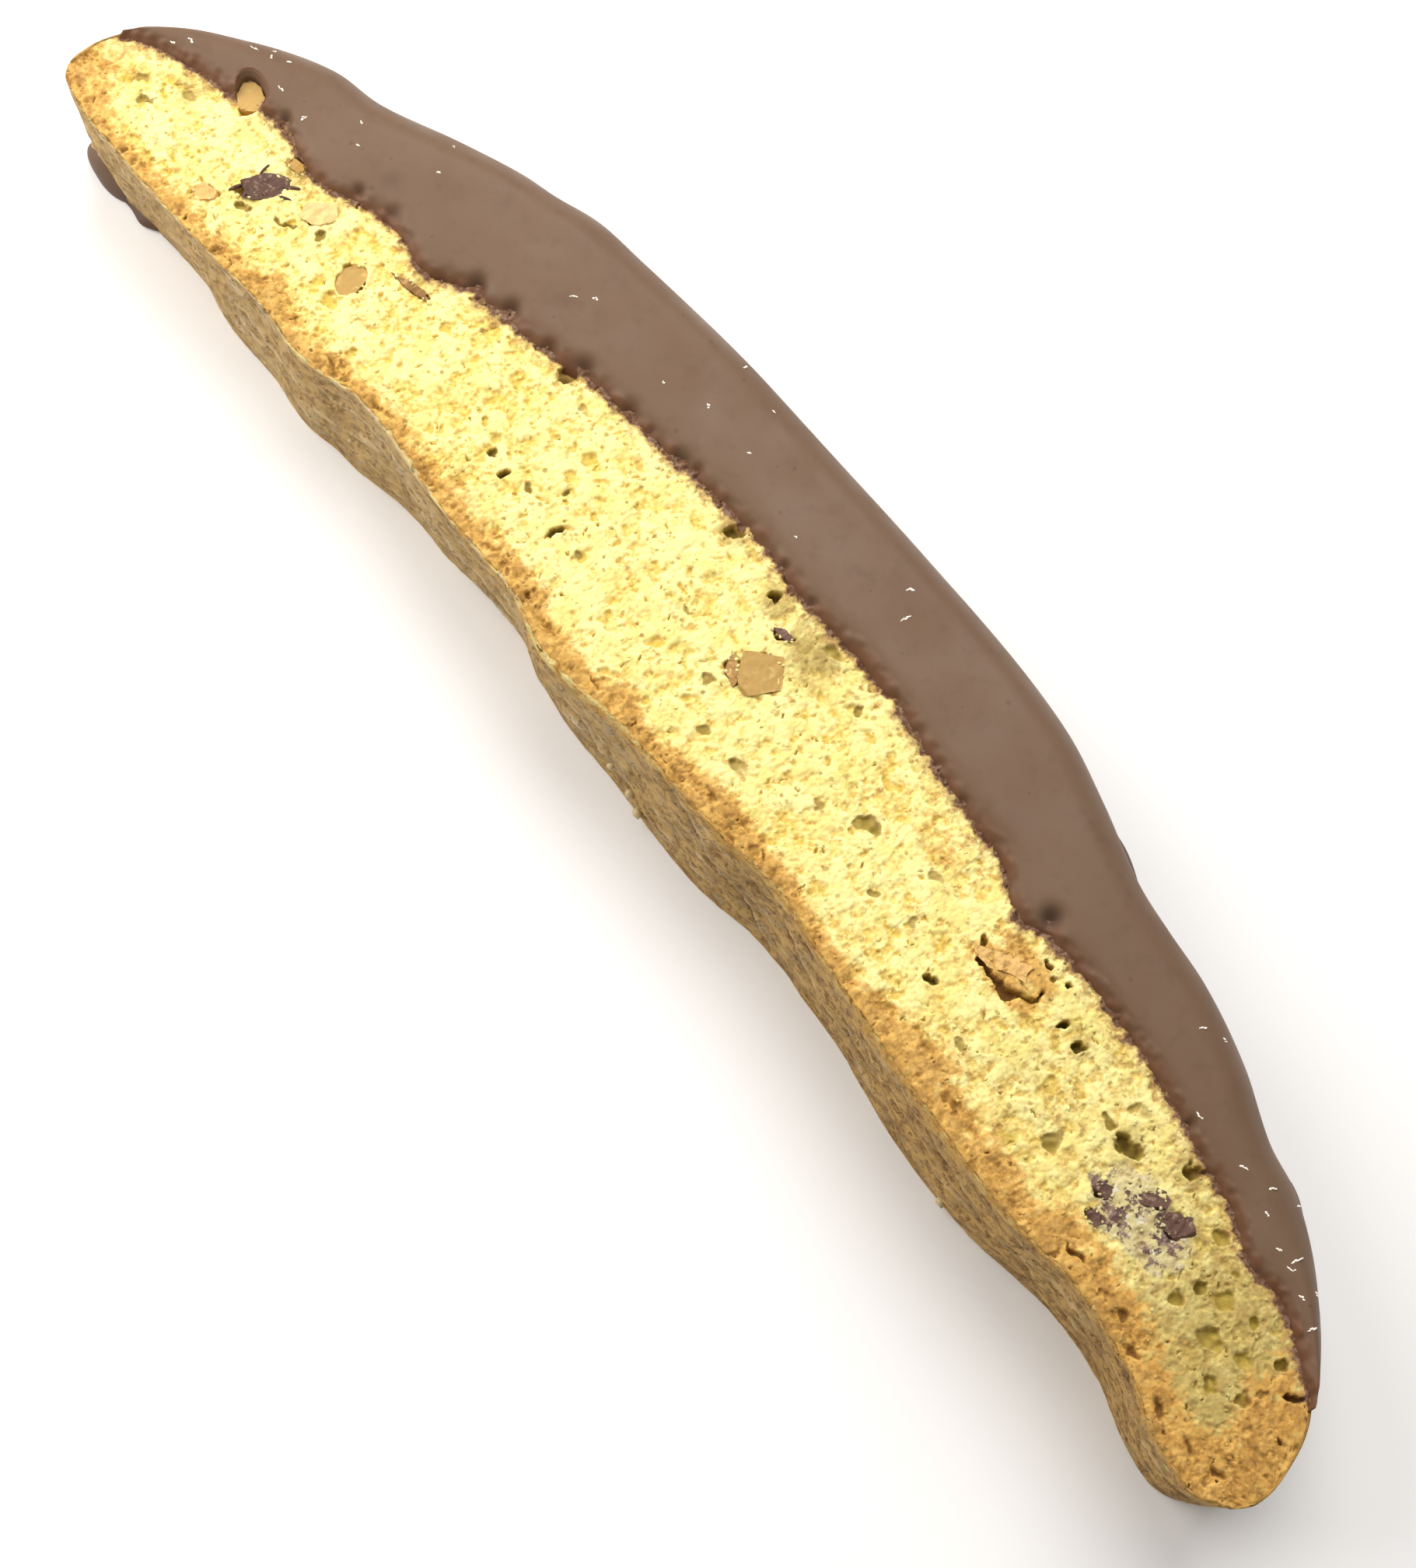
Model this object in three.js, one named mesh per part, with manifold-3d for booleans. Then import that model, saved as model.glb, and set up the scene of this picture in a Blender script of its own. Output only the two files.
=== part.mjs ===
// A twice-baked almond biscuit slice, lying on one cut face and dipped in milk chocolate
// along its domed side. Millimetres. X runs along the slice, Y from its flat base crust
// towards the dome, Z up through its thickness. Every size below is measured on the slice
// with the left tip near x = 0 and the floor at z = 0; the group is centred at the end.

import * as THREE from 'three';
import { mergeVertices } from 'three/addons/utils/BufferGeometryUtils.js';
import Module from 'manifold-3d';

// ---- driving dimensions -------------------------------------------------------------

const THICKNESS = 16;            // between the two cut faces
const LEFT_END = -0.4;           // x of the narrow tip
const RIGHT_END = 180.2;         // x of the blunt end
const GAP = 0.3;                 // clearance between touching pieces
const COAT_TOP = 1.1;            // chocolate over the upper cut face
const COAT_EDGE = 0.75;          // height of its feathered edge over the crumb
const COAT_SIDE = 1.5;           // chocolate over the domed crust
const COAT_BELOW = 0.7;          // film squeezed flat under the slice
const EDGE_ROUND = 4;            // roll of the chocolate over the upper edge
const CRUST_ROUND = 1.6;         // roll of the domed crust's own edge
const DOME_FLARE = 3.2;          // how far the domed wall leans out at the floor
const TIP_UNDERCUT = 3.5;        // how far the narrow tip overhangs
const TIP_REACH = 25;            // length over which that overhang fades
const FOOT_HEIGHT = 1.6;         // pooled chocolate round the foot of the dome
const FOOT_REACH = 0.25;         // how far it spreads where there is no pool
const COAT_ENDS = [0.6, 177.4];  // x where the chocolate starts and stops

// Outlines seen from above, as [x, y] points of smooth curves.
const BASE_CRUST = [
  [-0.4, 0.7], [3, -0.3], [12, -0.7], [24, -0.5], [33, 0.1], [40, -0.5], [46.5, 1.3],
  [60, 0.3], [72, 0], [78, -1.6], [90, -0.4], [103, -0.2], [110, 0.6], [118, -0.6],
  [131, -2.1], [147, -3.3], [156, -2.9], [164, -4.4], [171, -6.9], [176.3, -7.1], [180.2, -4.4],
];
const DOME = [
  [-0.4, 6.2], [2, 11.4], [9, 18.4], [16, 22.4], [22, 23.7], [30, 27.2], [37.5, 30.1],
  [41, 31], [46, 32.6], [52, 33.2], [66, 34.2], [80, 34.3], [94, 34.3], [108, 33.9],
  [117, 32.8], [124, 30.7], [132, 27.9], [137, 27], [143, 26.1], [151, 23.6], [158, 20.3],
  [163, 18.9], [170.5, 14.2], [176.8, 7.7], [179.2, 3], [180.2, 0],
];
const CHOCOLATE_LINE = [
  [0, 7], [5, 9.2], [12.7, 11.7], [19, 13.7], [25.6, 12.3], [31.5, 15.1], [35.5, 15.8],
  [39.7, 14.4], [47.6, 17], [59.5, 19.1], [70, 21.3], [81, 22.3], [90.6, 21.1], [99, 21.6],
  [113, 19.5], [121, 18.9], [126.8, 15.3], [130, 17.7], [136, 17.1], [149, 14.4], [155.8, 14.8],
  [164, 10.4], [169, 10.5], [178, 6.2],
];

// How far the base crust stands in (+) or out (-) at the floor, as [x, y].
const BASE_LEAN = [
  [0, 0.5], [14, 1.5], [20, 1.4], [27, 0], [34, -0.4], [42, -0.6], [47, -1.4], [53, -0.1],
  [62, 1], [78, 1.2], [85, 0], [92, -0.9], [106, -1.6], [116, -0.7], [124, -0.3], [135, -1.3],
  [148, -0.7], [158, 0.1], [168, 0.9], [180, 0.8],
];

// Pools where chocolate crept out past the dome's foot: [x, spread, reach].
const FOOT_POOLS = [[64, 14, 0.5], [100, 10, 0.4], [129, 4.5, 1.9], [164.5, 3, 1.7], [176, 3.5, 1.8]];

// Air pockets opened by the knife: [x, y, radius, depth].
const AIR_POCKETS = [
  [23.6, 5.4, 1.2, 1.6], [30.6, 9.4, 1.3, 1.2], [57.4, 18.9, 1.4, 1.6], [61.5, 8.9, 1.1, 1],
  [72.5, 7.6, 1.1, 1], [80.4, 20.9, 1.2, 1.2], [87.7, 19.4, 1.3, 1.5], [96, 19.9, 1.7, 1.7],
  [101.5, 17.4, 1.2, 1.1], [110.2, 11.7, 1.9, 1.5], [125.7, 6.7, 1.2, 1.1], [130.6, 10.2, 2.3, 1.9],
  [137.5, 13.3, 1.3, 1.4], [144.6, 5.3, 1.8, 1.6], [149.5, 9.8, 2.1, 1.8], [155.4, 12.9, 1.6, 1.8],
  [167.6, 3.4, 1.7, 1.3], [176.3, 5.6, 1.1, 1.2],
];
const CRUMB_DENTS = 190;         // smaller bubbles scattered between the named ones
const CRUMB_ROUGHNESS = 0.16;    // how far the cut crumb stands down at random

// Mesh density.
const STATIONS = 94;             // cross-sections along the biscuit
const COAT_STATIONS = 66;        // cross-sections along the chocolate
const CRUMB_STEPS = 13;          // across the bare crumb

const wasm = await Module();
wasm.setup();

// ---- shared helpers -----------------------------------------------------------------

// A smooth height y(x) through [x, y] points.
function smoothCurve(points) {
  const curve = new THREE.CubicInterpolant(points.map((p) => p[0]), points.map((p) => p[1]), 1);
  return (x) => curve.evaluate(x)[0];
}

const { lerp, smoothstep, clamp } = THREE.MathUtils;

// A repeatable random stream.
function seededRandom(seed) {
  let state = seed;
  return () => {
    state = (state + 0x6d2b79f5) | 0;
    let t = Math.imul(state ^ (state >>> 15), 1 | state);
    t = (t + Math.imul(t ^ (t >>> 7), 61 | t)) ^ t;
    return ((t ^ (t >>> 14)) >>> 0) / 4294967296;
  };
}

// Positions along X, closer together towards both ends.
function stations(from, to, count) {
  return Array.from({ length: count }, (_, i) => {
    const even = i / (count - 1);
    const crowded = (1 - Math.cos(Math.PI * even)) / 2;
    return lerp(from, to, lerp(even, crowded, 0.55));
  });
}

// Joins closed cross-sections (anticlockwise seen from +X) into one closed body.
function loft(sections) {
  const size = sections[0].length;
  const last = sections.length - 1;
  const positions = [];
  for (const section of sections) for (const p of section) positions.push(p.x, p.y, p.z);
  const index = [];
  for (let i = 0; i < last; i++) {
    for (let j = 0; j < size; j++) {
      const k = (j + 1) % size;
      const [a, b, c, d] = [i * size + j, i * size + k, (i + 1) * size + k, (i + 1) * size + j];
      index.push(a, b, c, a, c, d);
    }
  }
  for (const [row, flip] of [[0, true], [last, false]]) {
    const centre = new THREE.Vector3();
    for (const p of sections[row]) centre.addScaledVector(p, 1 / size);
    const hub = positions.length / 3;
    positions.push(centre.x, centre.y, centre.z);
    for (let j = 0; j < size; j++) {
      const [a, b] = [row * size + j, row * size + (j + 1) % size];
      index.push(hub, ...(flip ? [b, a] : [a, b]));
    }
  }
  const geometry = new THREE.BufferGeometry();
  geometry.setAttribute('position', new THREE.Float32BufferAttribute(positions, 3));
  geometry.setIndex(index);
  return geometry;
}

function toSolid(geometry) {
  const bare = geometry.clone();
  bare.deleteAttribute('normal');
  bare.deleteAttribute('uv');
  const merged = mergeVertices(bare, 1e-4);
  const mesh = new wasm.Mesh({
    numProp: 3,
    vertProperties: new Float32Array(merged.attributes.position.array),
    triVerts: new Uint32Array(merged.index.array),
  });
  return new wasm.Manifold(mesh);
}

function toGeometry(solid) {
  const mesh = solid.getMesh();
  const geometry = new THREE.BufferGeometry();
  geometry.setAttribute('position', new THREE.Float32BufferAttribute(mesh.vertProperties, 3));
  geometry.setIndex(Array.from(mesh.triVerts));
  return geometry;
}

// ---- outlines -----------------------------------------------------------------------

const baseCrust = smoothCurve(BASE_CRUST);
const dome = smoothCurve(DOME);
const chocolateLine = smoothCurve(CHOCOLATE_LINE);
const baseLean = smoothCurve(BASE_LEAN);

// How much longer a step across the dome is when measured along Y instead of square to it.
function domeSkew(x) {
  const slope = (dome(x + 0.5) - dome(x - 0.5));
  return Math.min(Math.hypot(1, slope), 2.4);
}

// The coat thins away at both ends of the dome.
function coatCover(x) {
  return COAT_SIDE * smoothstep(x, LEFT_END, 9) * (1 - smoothstep(x, 172, RIGHT_END - 1));
}

const crustDome = (x) => dome(x) - coatCover(x) * domeSkew(x);

// The domed wall leans outwards below its upper edge.
function domeLean(x, z) {
  const fade = smoothstep(x, 4, 18) * (1 - smoothstep(x, 173, RIGHT_END));
  return DOME_FLARE * domeSkew(x) * fade * Math.pow(1 - clamp(z / THICKNESS, 0, 1), 1.2);
}

// Chocolate that crept out round the foot.
function footPool(x, z) {
  let reach = FOOT_REACH;
  for (const [at, spread, out] of FOOT_POOLS) reach += out * Math.exp(-(((x - at) / spread) ** 2));
  return reach * domeSkew(x) * Math.exp(-((z / FOOT_HEIGHT) ** 2));
}

// The narrow tip overhangs: lower points move along X, away from it.
function tipUndercut(x, z) {
  const fade = clamp(1 - x / TIP_REACH, 0, 1);
  return TIP_UNDERCUT * (1 - clamp(z / THICKNESS, 0, 1)) * fade * fade;
}

const place = (x, y, z) => new THREE.Vector3(x + tipUndercut(x, z), y, z);

// ---- the biscuit --------------------------------------------------------------------

const random = seededRandom(20);
const dents = Array.from({ length: CRUMB_DENTS }, () => {
  const x = lerp(3, RIGHT_END - 3, random());
  const y = lerp(baseCrust(x) + 0.8, chocolateLine(x) - 0.4, random());
  return [x, y, lerp(0.8, 1.5, random()), lerp(0.25, 0.9, random())];
});

// How far the cut crumb lies below the knife's plane.
function crumbDepth(x, y) {
  let depth = CRUMB_ROUGHNESS * (1 + Math.sin(x * 2.3 + y * 1.7) * Math.cos(y * 2.9 - x * 1.1));
  for (const [px, py, radius, deep] of [...AIR_POCKETS, ...dents]) {
    const distance = Math.hypot(x - px, y - py) / radius;
    if (distance < 1.3) depth = Math.max(depth, deep * (1 - smoothstep(distance, 0.35, 1.3)));
  }
  return depth;
}

// The base crust leans, with long soft ridges that the baking sheet left along it.
function crustLean(x, z) {
  const ridges = 0.22 * Math.sin(x * 0.31 + z * 0.9) + 0.16 * Math.sin(x * 0.83 - z * 1.3);
  const inner = Math.sin(Math.PI * clamp(z / THICKNESS, 0, 1));
  return baseLean(x) * (1 - clamp(z / THICKNESS, 0, 1)) + ridges * inner * smoothstep(x, 0, 10);
}

// One cross-section. grow moves every wall out for cutting clearance; a plain one has no relief.
function biscuitSection(x, grow, plain) {
  const low = baseCrust(x) - grow;
  const high = crustDome(x) + grow * domeSkew(x);
  const line = clamp(chocolateLine(x), low + 0.5, high - 1.2);
  const floor = -grow;
  const roof = THICKNESS + grow;
  const round = Math.min(CRUST_ROUND, (high - line) / 3);
  const points = [];
  for (const across of plain ? [0, 1] : [0, 0.33, 0.66, 1]) {
    points.push(place(x, lerp(low + crustLean(x, 0), high + domeLean(x, 0), across), floor));
  }
  for (const rise of [0.12, 0.4, 0.7]) {
    const z = lerp(floor, roof, rise);
    points.push(place(x, high + domeLean(x, z), z));
  }
  for (const turn of plain ? [0.15, 0.75] : [0.15, 0.5, 0.85]) {
    const angle = turn * Math.PI / 2;
    const z = roof - round * (1 - Math.sin(angle));
    points.push(place(x, high - round * (1 - Math.cos(angle)) + domeLean(x, z), z));
  }
  points.push(place(x, lerp(high, line, 0.5), roof));
  for (let j = 0; j <= (plain ? 0 : CRUMB_STEPS); j++) {
    const y = lerp(line, low, j / (CRUMB_STEPS + 1));
    const bare = smoothstep(line - y, -0.1, 0.9);
    points.push(place(x, y, plain ? roof : roof - bare * crumbDepth(x, y)));
  }
  points.push(place(x, low, plain ? roof : roof - 0.1));
  for (const fall of plain ? [] : [0.8, 0.55, 0.3, 0.12]) {
    const z = fall * THICKNESS;
    points.push(place(x, low + Math.min(crustLean(x, z), (high - low) / 4), z));
  }
  return points;
}

// 0 at the narrow tip, where the film runs right across, to 1 where it keeps to the dome's side.
const filmNarrowing = (x) => smoothstep(x, 9, 26);

// The space under the slice that the squeezed film fills, up to a line like the one on top.
function filmSpace(lineShift, height) {
  const [start, stop, far, below] = [LEFT_END - 4, RIGHT_END + 3, 60, 5];
  const corners = stations(start, stop, 60).map((x) => {
    const pastBase = baseCrust(x) - 5;
    const y = lerp(pastBase, chocolateLine(x), filmNarrowing(x));
    return new THREE.Vector2(x, y + lineShift);
  });
  const outline = new THREE.Shape([...corners, new THREE.Vector2(stop, far), new THREE.Vector2(start, far)]);
  const depth = height + below;
  const geometry = new THREE.ExtrudeGeometry(outline, { depth, bevelEnabled: false });
  return toSolid(geometry.translate(0, 0, -below));
}

const biscuitStations = stations(LEFT_END, RIGHT_END, STATIONS);
const biscuitBlank = toSolid(loft(biscuitStations.map((x) => biscuitSection(x, 0, false))))
  .subtract(filmSpace(-GAP, COAT_BELOW + GAP));
const biscuitClearance = toSolid(loft(biscuitStations.map((x) => biscuitSection(x, GAP, true))))
  .subtract(filmSpace(0, COAT_BELOW));

// ---- the chocolate ------------------------------------------------------------------

function coatSection(x) {
  const outer = dome(x);
  const line = Math.min(chocolateLine(x), outer - 0.9);
  const roof = THICKNESS + COAT_TOP;
  const roll = Math.min(EDGE_ROUND * domeSkew(x), (outer - line) * 0.6);
  const inside = lerp(baseCrust(x) + 0.8, line - 1.5, filmNarrowing(x));
  const points = [place(x, inside, 0), place(x, lerp(inside, outer, 0.6), 0)];
  for (const z of [0, 0.5, 1.1, 2.2, 5, 9]) {
    points.push(place(x, outer + domeLean(x, z) + footPool(x, z) - (z ? 0 : 0.5), z));
  }
  for (const turn of [0, 0.25, 0.5, 0.75, 1]) {
    const angle = turn * Math.PI / 2;
    const z = roof - EDGE_ROUND * (1 - Math.sin(angle));
    points.push(place(x, outer - roll * (1 - Math.cos(angle)) + domeLean(x, z), z));
  }
  for (const inward of [0.5, 0.8, 0.93, 1]) {
    const z = lerp(roof, THICKNESS + COAT_EDGE, inward ** 4);
    points.push(place(x, lerp(outer - roll, line, inward), z));
  }
  points.push(place(x, line, THICKNESS / 2));
  return points;
}

// A bead of the film that oozed out past the base crust under the narrow tip.
const BEAD_CENTRE = [6.2, 0.9, 0.6];
const BEAD_RADII = [5.6, 2, 3];

function tipBead() {
  const bead = new THREE.SphereGeometry(1, 18, 12).scale(...BEAD_RADII).translate(...BEAD_CENTRE);
  const belowFloor = new THREE.BoxGeometry(40, 40, 10).translate(0, 0, -5);
  return toSolid(bead).subtract(toSolid(belowFloor));
}

// An almond bit lies in this round window through the chocolate.
const WINDOW = { x: 13.7, y: 13.9, radius: 1.9, height: 6 };

function windowCut() {
  const { x, y, radius, height } = WINDOW;
  const cut = new THREE.CylinderGeometry(radius * 1.15, radius * 0.95, height, 18);
  return toSolid(cut.rotateX(Math.PI / 2).translate(x, y, THICKNESS + height / 3));
}

const coatEnvelope = toSolid(loft(stations(...COAT_ENDS, COAT_STATIONS).map(coatSection)));
const coatSolid = coatEnvelope.add(tipBead()).subtract(biscuitClearance).subtract(windowCut());

// ---- nuts and chocolate chips in the crumb -------------------------------------------

// name, centre x and y, length, width, depth, turn about Z in degrees, height over the crumb, look
const INCLUSIONS = [
  ['almond_in_window', WINDOW.x, WINDOW.y, 3, 2.7, 2.6, 20, 0.35, 'almond'],
  ['almond_tan_bit', 19.7, 3.3, 2.6, 1.7, 1.6, 35, 0, 'almond_skin'],
  ['chocolate_chunk', 22.9, 8.3, 6.4, 2.7, 3, 55, 0.15, 'dark_chocolate'],
  ['almond_pale_bit', 23, 12.3, 2.8, 1.3, 1.4, 15, 0, 'almond'],
  ['almond_peach_piece', 28.5, 10.9, 3.8, 2.5, 2, 60, 0.1, 'almond'],
  ['almond_oval_slice', 36.2, 8.6, 4.4, 2.3, 1.7, 84, 0, 'almond'],
  ['almond_sliver', 40.9, 13, 4.4, 1.3, 1.4, 12, 0, 'almond_skin'],
  ['almond_big_piece', 92.9, 13.3, 4.6, 3.4, 3.2, 75, 0.25, 'almond'],
  ['almond_brown_side', 89.9, 12, 1.9, 1.7, 1.8, 70, 0, 'almond_skin'],
  ['red_brown_chip', 91.5, 17.6, 2.3, 1, 1.1, 10, 0, 'dark_chocolate'],
  ['toasted_almond', 129.3, 12.6, 4.4, 2.6, 2.2, 20, 0.1, 'almond_skin'],
  ['chip_crumb_near_base', 152, 2.6, 1.8, 1.5, 1.4, 0, 0, 'dark_chocolate'],
  ['chip_crumb_left', 151, 5.2, 1.8, 1.5, 1.5, 40, 0, 'dark_chocolate'],
  ['chip_crumb_middle', 154.3, 8, 3.1, 1.9, 1.7, 25, 0, 'dark_chocolate'],
  ['chip_crumb_right', 157.6, 8, 3, 2.6, 1.9, 50, 0, 'dark_chocolate'],
];
const FACET_JITTER = 0.12;       // how far a broken piece's corners stray from an oval
const KNIFE_PLANE = THICKNESS - 0.15;

// A broken lump, cut flat near the knife's plane. grow makes the pocket that it sits in.
function lump([, x, y, length, width, depth, turn, proud], seed, grow) {
  const roll = seededRandom(seed);
  const geometry = mergeVertices(stripToPosition(new THREE.IcosahedronGeometry(1, 1)));
  const position = geometry.attributes.position;
  for (let i = 0; i < position.count; i++) {
    const stray = 1 + FACET_JITTER * (2 * roll() - 1);
    position.setXYZ(i, position.getX(i) * stray, position.getY(i) * stray, position.getZ(i) * stray);
  }
  geometry.scale(length / 2 + grow, width / 2 + grow, depth / 2 + grow);
  geometry.rotateZ(THREE.MathUtils.degToRad(turn));
  geometry.translate(x, y, KNIFE_PLANE - depth * 0.3);
  const solid = toSolid(geometry);
  if (grow > 0) return solid;
  const above = new THREE.BoxGeometry(20, 20, 10).translate(x, y, KNIFE_PLANE + proud + 5);
  return solid.subtract(toSolid(above));
}

function stripToPosition(geometry) {
  geometry.deleteAttribute('normal');
  geometry.deleteAttribute('uv');
  return geometry;
}

const POCKET_CLEARANCE = 0.42;   // leaves about the gap once the lump's facets are counted

let biscuitSolid = biscuitBlank;
const lumps = INCLUSIONS.map((spec, i) => {
  biscuitSolid = biscuitSolid.subtract(lump(spec, 101 + i, POCKET_CLEARANCE));
  return { name: spec[0], look: spec[8], solid: lump(spec, 101 + i, 0) };
});

// ---- assembly -----------------------------------------------------------------------

const looks = {
  baked_crumb: new THREE.MeshStandardMaterial({ color: 0xf0d68c, roughness: 0.9, metalness: 0 }),
  milk_chocolate: new THREE.MeshStandardMaterial({ color: 0x8a6a58, roughness: 0.35, metalness: 0 }),
  almond: new THREE.MeshStandardMaterial({ color: 0xe6cf9a, roughness: 0.6, metalness: 0 }),
  almond_skin: new THREE.MeshStandardMaterial({ color: 0xc88f4c, roughness: 0.7, metalness: 0 }),
  dark_chocolate: new THREE.MeshStandardMaterial({ color: 0x4f332c, roughness: 0.5, metalness: 0 }),
};

function piece(name, solid, look) {
  const mesh = new THREE.Mesh(toGeometry(solid), looks[look]);
  mesh.name = name;
  return mesh;
}

const biscotti = new THREE.Group();
biscotti.add(piece('biscuit', biscuitSolid, 'baked_crumb'));
biscotti.add(piece('chocolate_coating', coatSolid, 'milk_chocolate'));
for (const { name, look, solid } of lumps) biscotti.add(piece(name, solid, look));

// Stand the whole on the floor, centred on the origin.
const extent = new THREE.Box3().setFromObject(biscotti);
const middle = extent.getCenter(new THREE.Vector3());
for (const mesh of biscotti.children) mesh.position.set(-middle.x, -middle.y, -extent.min.z);

export default biscotti;
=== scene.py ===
"""An almond biscotti slice dipped along its domed side in milk chocolate.

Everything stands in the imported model's frame, in metres. Shapes are first worked out in
millimetres on the slice itself: x along it from its narrow tip, y from its base crust
towards its dome, z up from the floor through its thickness.
"""

import math

import bmesh
import bpy
import numpy as np
from mathutils import Matrix, Vector


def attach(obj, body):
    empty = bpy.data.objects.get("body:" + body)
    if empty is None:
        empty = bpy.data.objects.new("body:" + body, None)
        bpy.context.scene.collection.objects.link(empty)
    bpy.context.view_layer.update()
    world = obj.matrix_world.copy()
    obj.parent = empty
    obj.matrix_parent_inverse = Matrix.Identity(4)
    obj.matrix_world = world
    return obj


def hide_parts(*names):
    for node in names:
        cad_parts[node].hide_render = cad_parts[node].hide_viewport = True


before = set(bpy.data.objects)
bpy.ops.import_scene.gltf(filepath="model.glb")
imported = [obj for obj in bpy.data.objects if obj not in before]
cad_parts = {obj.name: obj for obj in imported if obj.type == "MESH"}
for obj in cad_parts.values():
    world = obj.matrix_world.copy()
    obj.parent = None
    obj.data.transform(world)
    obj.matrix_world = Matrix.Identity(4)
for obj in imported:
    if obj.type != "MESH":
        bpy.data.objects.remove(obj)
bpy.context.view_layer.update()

# ---- the baked crust ------------------------------------------------------------------
# The slice itself, cut from a flattened loaf: a floury base crust that took the ridges of
# the baking sheet, the domed crust opposite, and the lower cut face that it lies on. Its
# upper cut face is a shallow tray inside a thin rim of crust, which the crumb fills.

MM = 0.001
SLICE_CORNER = (89.9, 15.309, 0.0)  # the frame's origin, measured on the slice
THICKNESS = 16.0
LEFT_END, RIGHT_END = -0.4, 180.2
CORNER_ROUND = 1.5  # of the slice's two ends, seen from above
CRUST_RIM = 0.5  # thickness of the crust seen round the crumb
TRAY_DEPTH = 2.4
TRAY_UNDER_COAT = 2.2  # how far the crumb goes on under the chocolate
COAT_SIDE = 1.5
COAT_BELOW = 0.7
DOME_FLARE = 3.2  # how far the domed wall leans out at the floor
TIP_UNDERCUT, TIP_REACH = 3.5, 25.0  # the narrow tip's overhang, and its length

BASE_CRUST = [
    (-0.4, 0.7), (3, -0.3), (12, -0.7), (24, -0.5), (33, 0.1), (40, -0.5), (46.5, 1.3),
    (60, 0.3), (72, 0), (78, -1.6), (90, -0.4), (103, -0.2), (110, 0.6), (118, -0.6),
    (131, -2.1), (147, -3.3), (156, -2.9), (164, -4.4), (171, -6.9), (176.3, -7.1), (180.2, -4.4),
]
DOME = [
    (-0.4, 6.2), (2, 11.4), (9, 18.4), (16, 22.4), (22, 23.7), (30, 27.2), (37.5, 30.1),
    (41, 31), (46, 32.6), (52, 33.2), (66, 34.2), (80, 34.3), (94, 34.3), (108, 33.9),
    (117, 32.8), (124, 30.7), (132, 27.9), (137, 27), (143, 26.1), (151, 23.6), (158, 20.3),
    (163, 18.9), (170.5, 14.2), (176.8, 7.7), (179.2, 3), (180.2, 0),
]
CHOCOLATE_LINE = [
    (0, 7.8), (5, 10.4), (12.7, 12.7), (19, 14.3), (25.6, 13.2), (31.5, 15.4), (35.5, 16.0),
    (39.7, 15.3), (44, 17.3), (47.6, 18.1), (53, 18.9), (59.5, 20.6), (64, 21.0), (70, 21.5),
    (81, 22.5), (90.6, 21.8), (99, 22.1), (107, 21.3), (113, 20.2), (118, 19.6), (121.5, 19.4),
    (126.8, 16.7), (130, 17.5), (136, 17.7), (143, 17.0), (149, 15.8), (155.8, 14.1),
    (160, 13.3), (164, 11.2), (169, 10.9), (178, 6.2),
]
# How far the base crust stands in (+) or out (-) at the floor.
BASE_LEAN = [
    (0, 0.5), (14, 1.5), (20, 1.4), (27, 0), (34, -0.4), (42, -0.6), (47, -1.4), (53, -0.1),
    (62, 1), (78, 1.2), (85, 0), (92, -0.9), (106, -1.6), (116, -0.7), (124, -0.3),
    (135, -1.3), (148, -0.7), (158, 0.1), (168, 0.9), (180, 0.8),
]
# Where the rim of the base crust stands up as a torn, pale lip: x, spread, height.
TORN_LIPS = [
    (41.5, 3.5, 0.8), (57, 5, 0.5), (72, 2, 0.5), (81, 6, 0.7), (104, 5, 0.5), (170, 4, 0.6),
]
# Long folds in the base crust, each a ledge over a groove: x, height, x, height, depth.
WALL_FOLDS = [
    (26, 10, 40, 8, 0.3), (58, 8, 73, 5, 0.4), (80, 9, 92, 3.5, 0.6), (93, 15.5, 105, 9, 0.8),
    (103, 10, 113, 1.5, 0.9), (109, 13, 121, 6, 0.45), (114, 9, 123, 3, 0.4), (123, 9, 135, 5, 0.5),
    (136, 12, 147, 8.5, 0.7), (148, 9, 161, 5, 0.5), (157, 12, 170, 9, 0.6), (164, 6, 177, 4, 0.5),
]
UNDERSIDE_SHIFT = 400  # moves the crumb's pattern on, so that the two cut faces differ
TIGHTER_CRUMB = 0.12  # how much closer the crumb is towards the blunt end
CRUST_ROWS = 600  # points along the slice
WALL_STEPS, UNDERSIDE_STEPS, DOME_STEPS = 52, 54, 12  # points round it
CAP_ROWS = 6


def smooth_curve(points):
    """A smooth height y(x) through points, level beyond its ends."""
    at, height = np.array(points, float).T
    slope = np.diff(height) / np.diff(at)
    lean = np.concatenate([slope[:1], (slope[:-1] + slope[1:]) / 2, slope[-1:]])

    def curve(x):
        x = np.clip(x, at[0], at[-1])
        i = np.clip(np.searchsorted(at, x) - 1, 0, len(slope) - 1)
        width = at[i + 1] - at[i]
        t = (x - at[i]) / width
        start = height[i] * (1 + 2 * t) * (1 - t) ** 2 + lean[i] * width * t * (1 - t) ** 2
        stop = height[i + 1] * t * t * (3 - 2 * t) - lean[i + 1] * width * t * t * (1 - t)
        return start + stop

    return curve


def ease(low, high, value):
    """0 below low, 1 above high, and smooth between them."""
    t = np.clip((value - low) / (high - low), 0, 1)
    return t * t * (3 - 2 * t)


def lerp(a, b, t):
    return a + (b - a) * t


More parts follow.
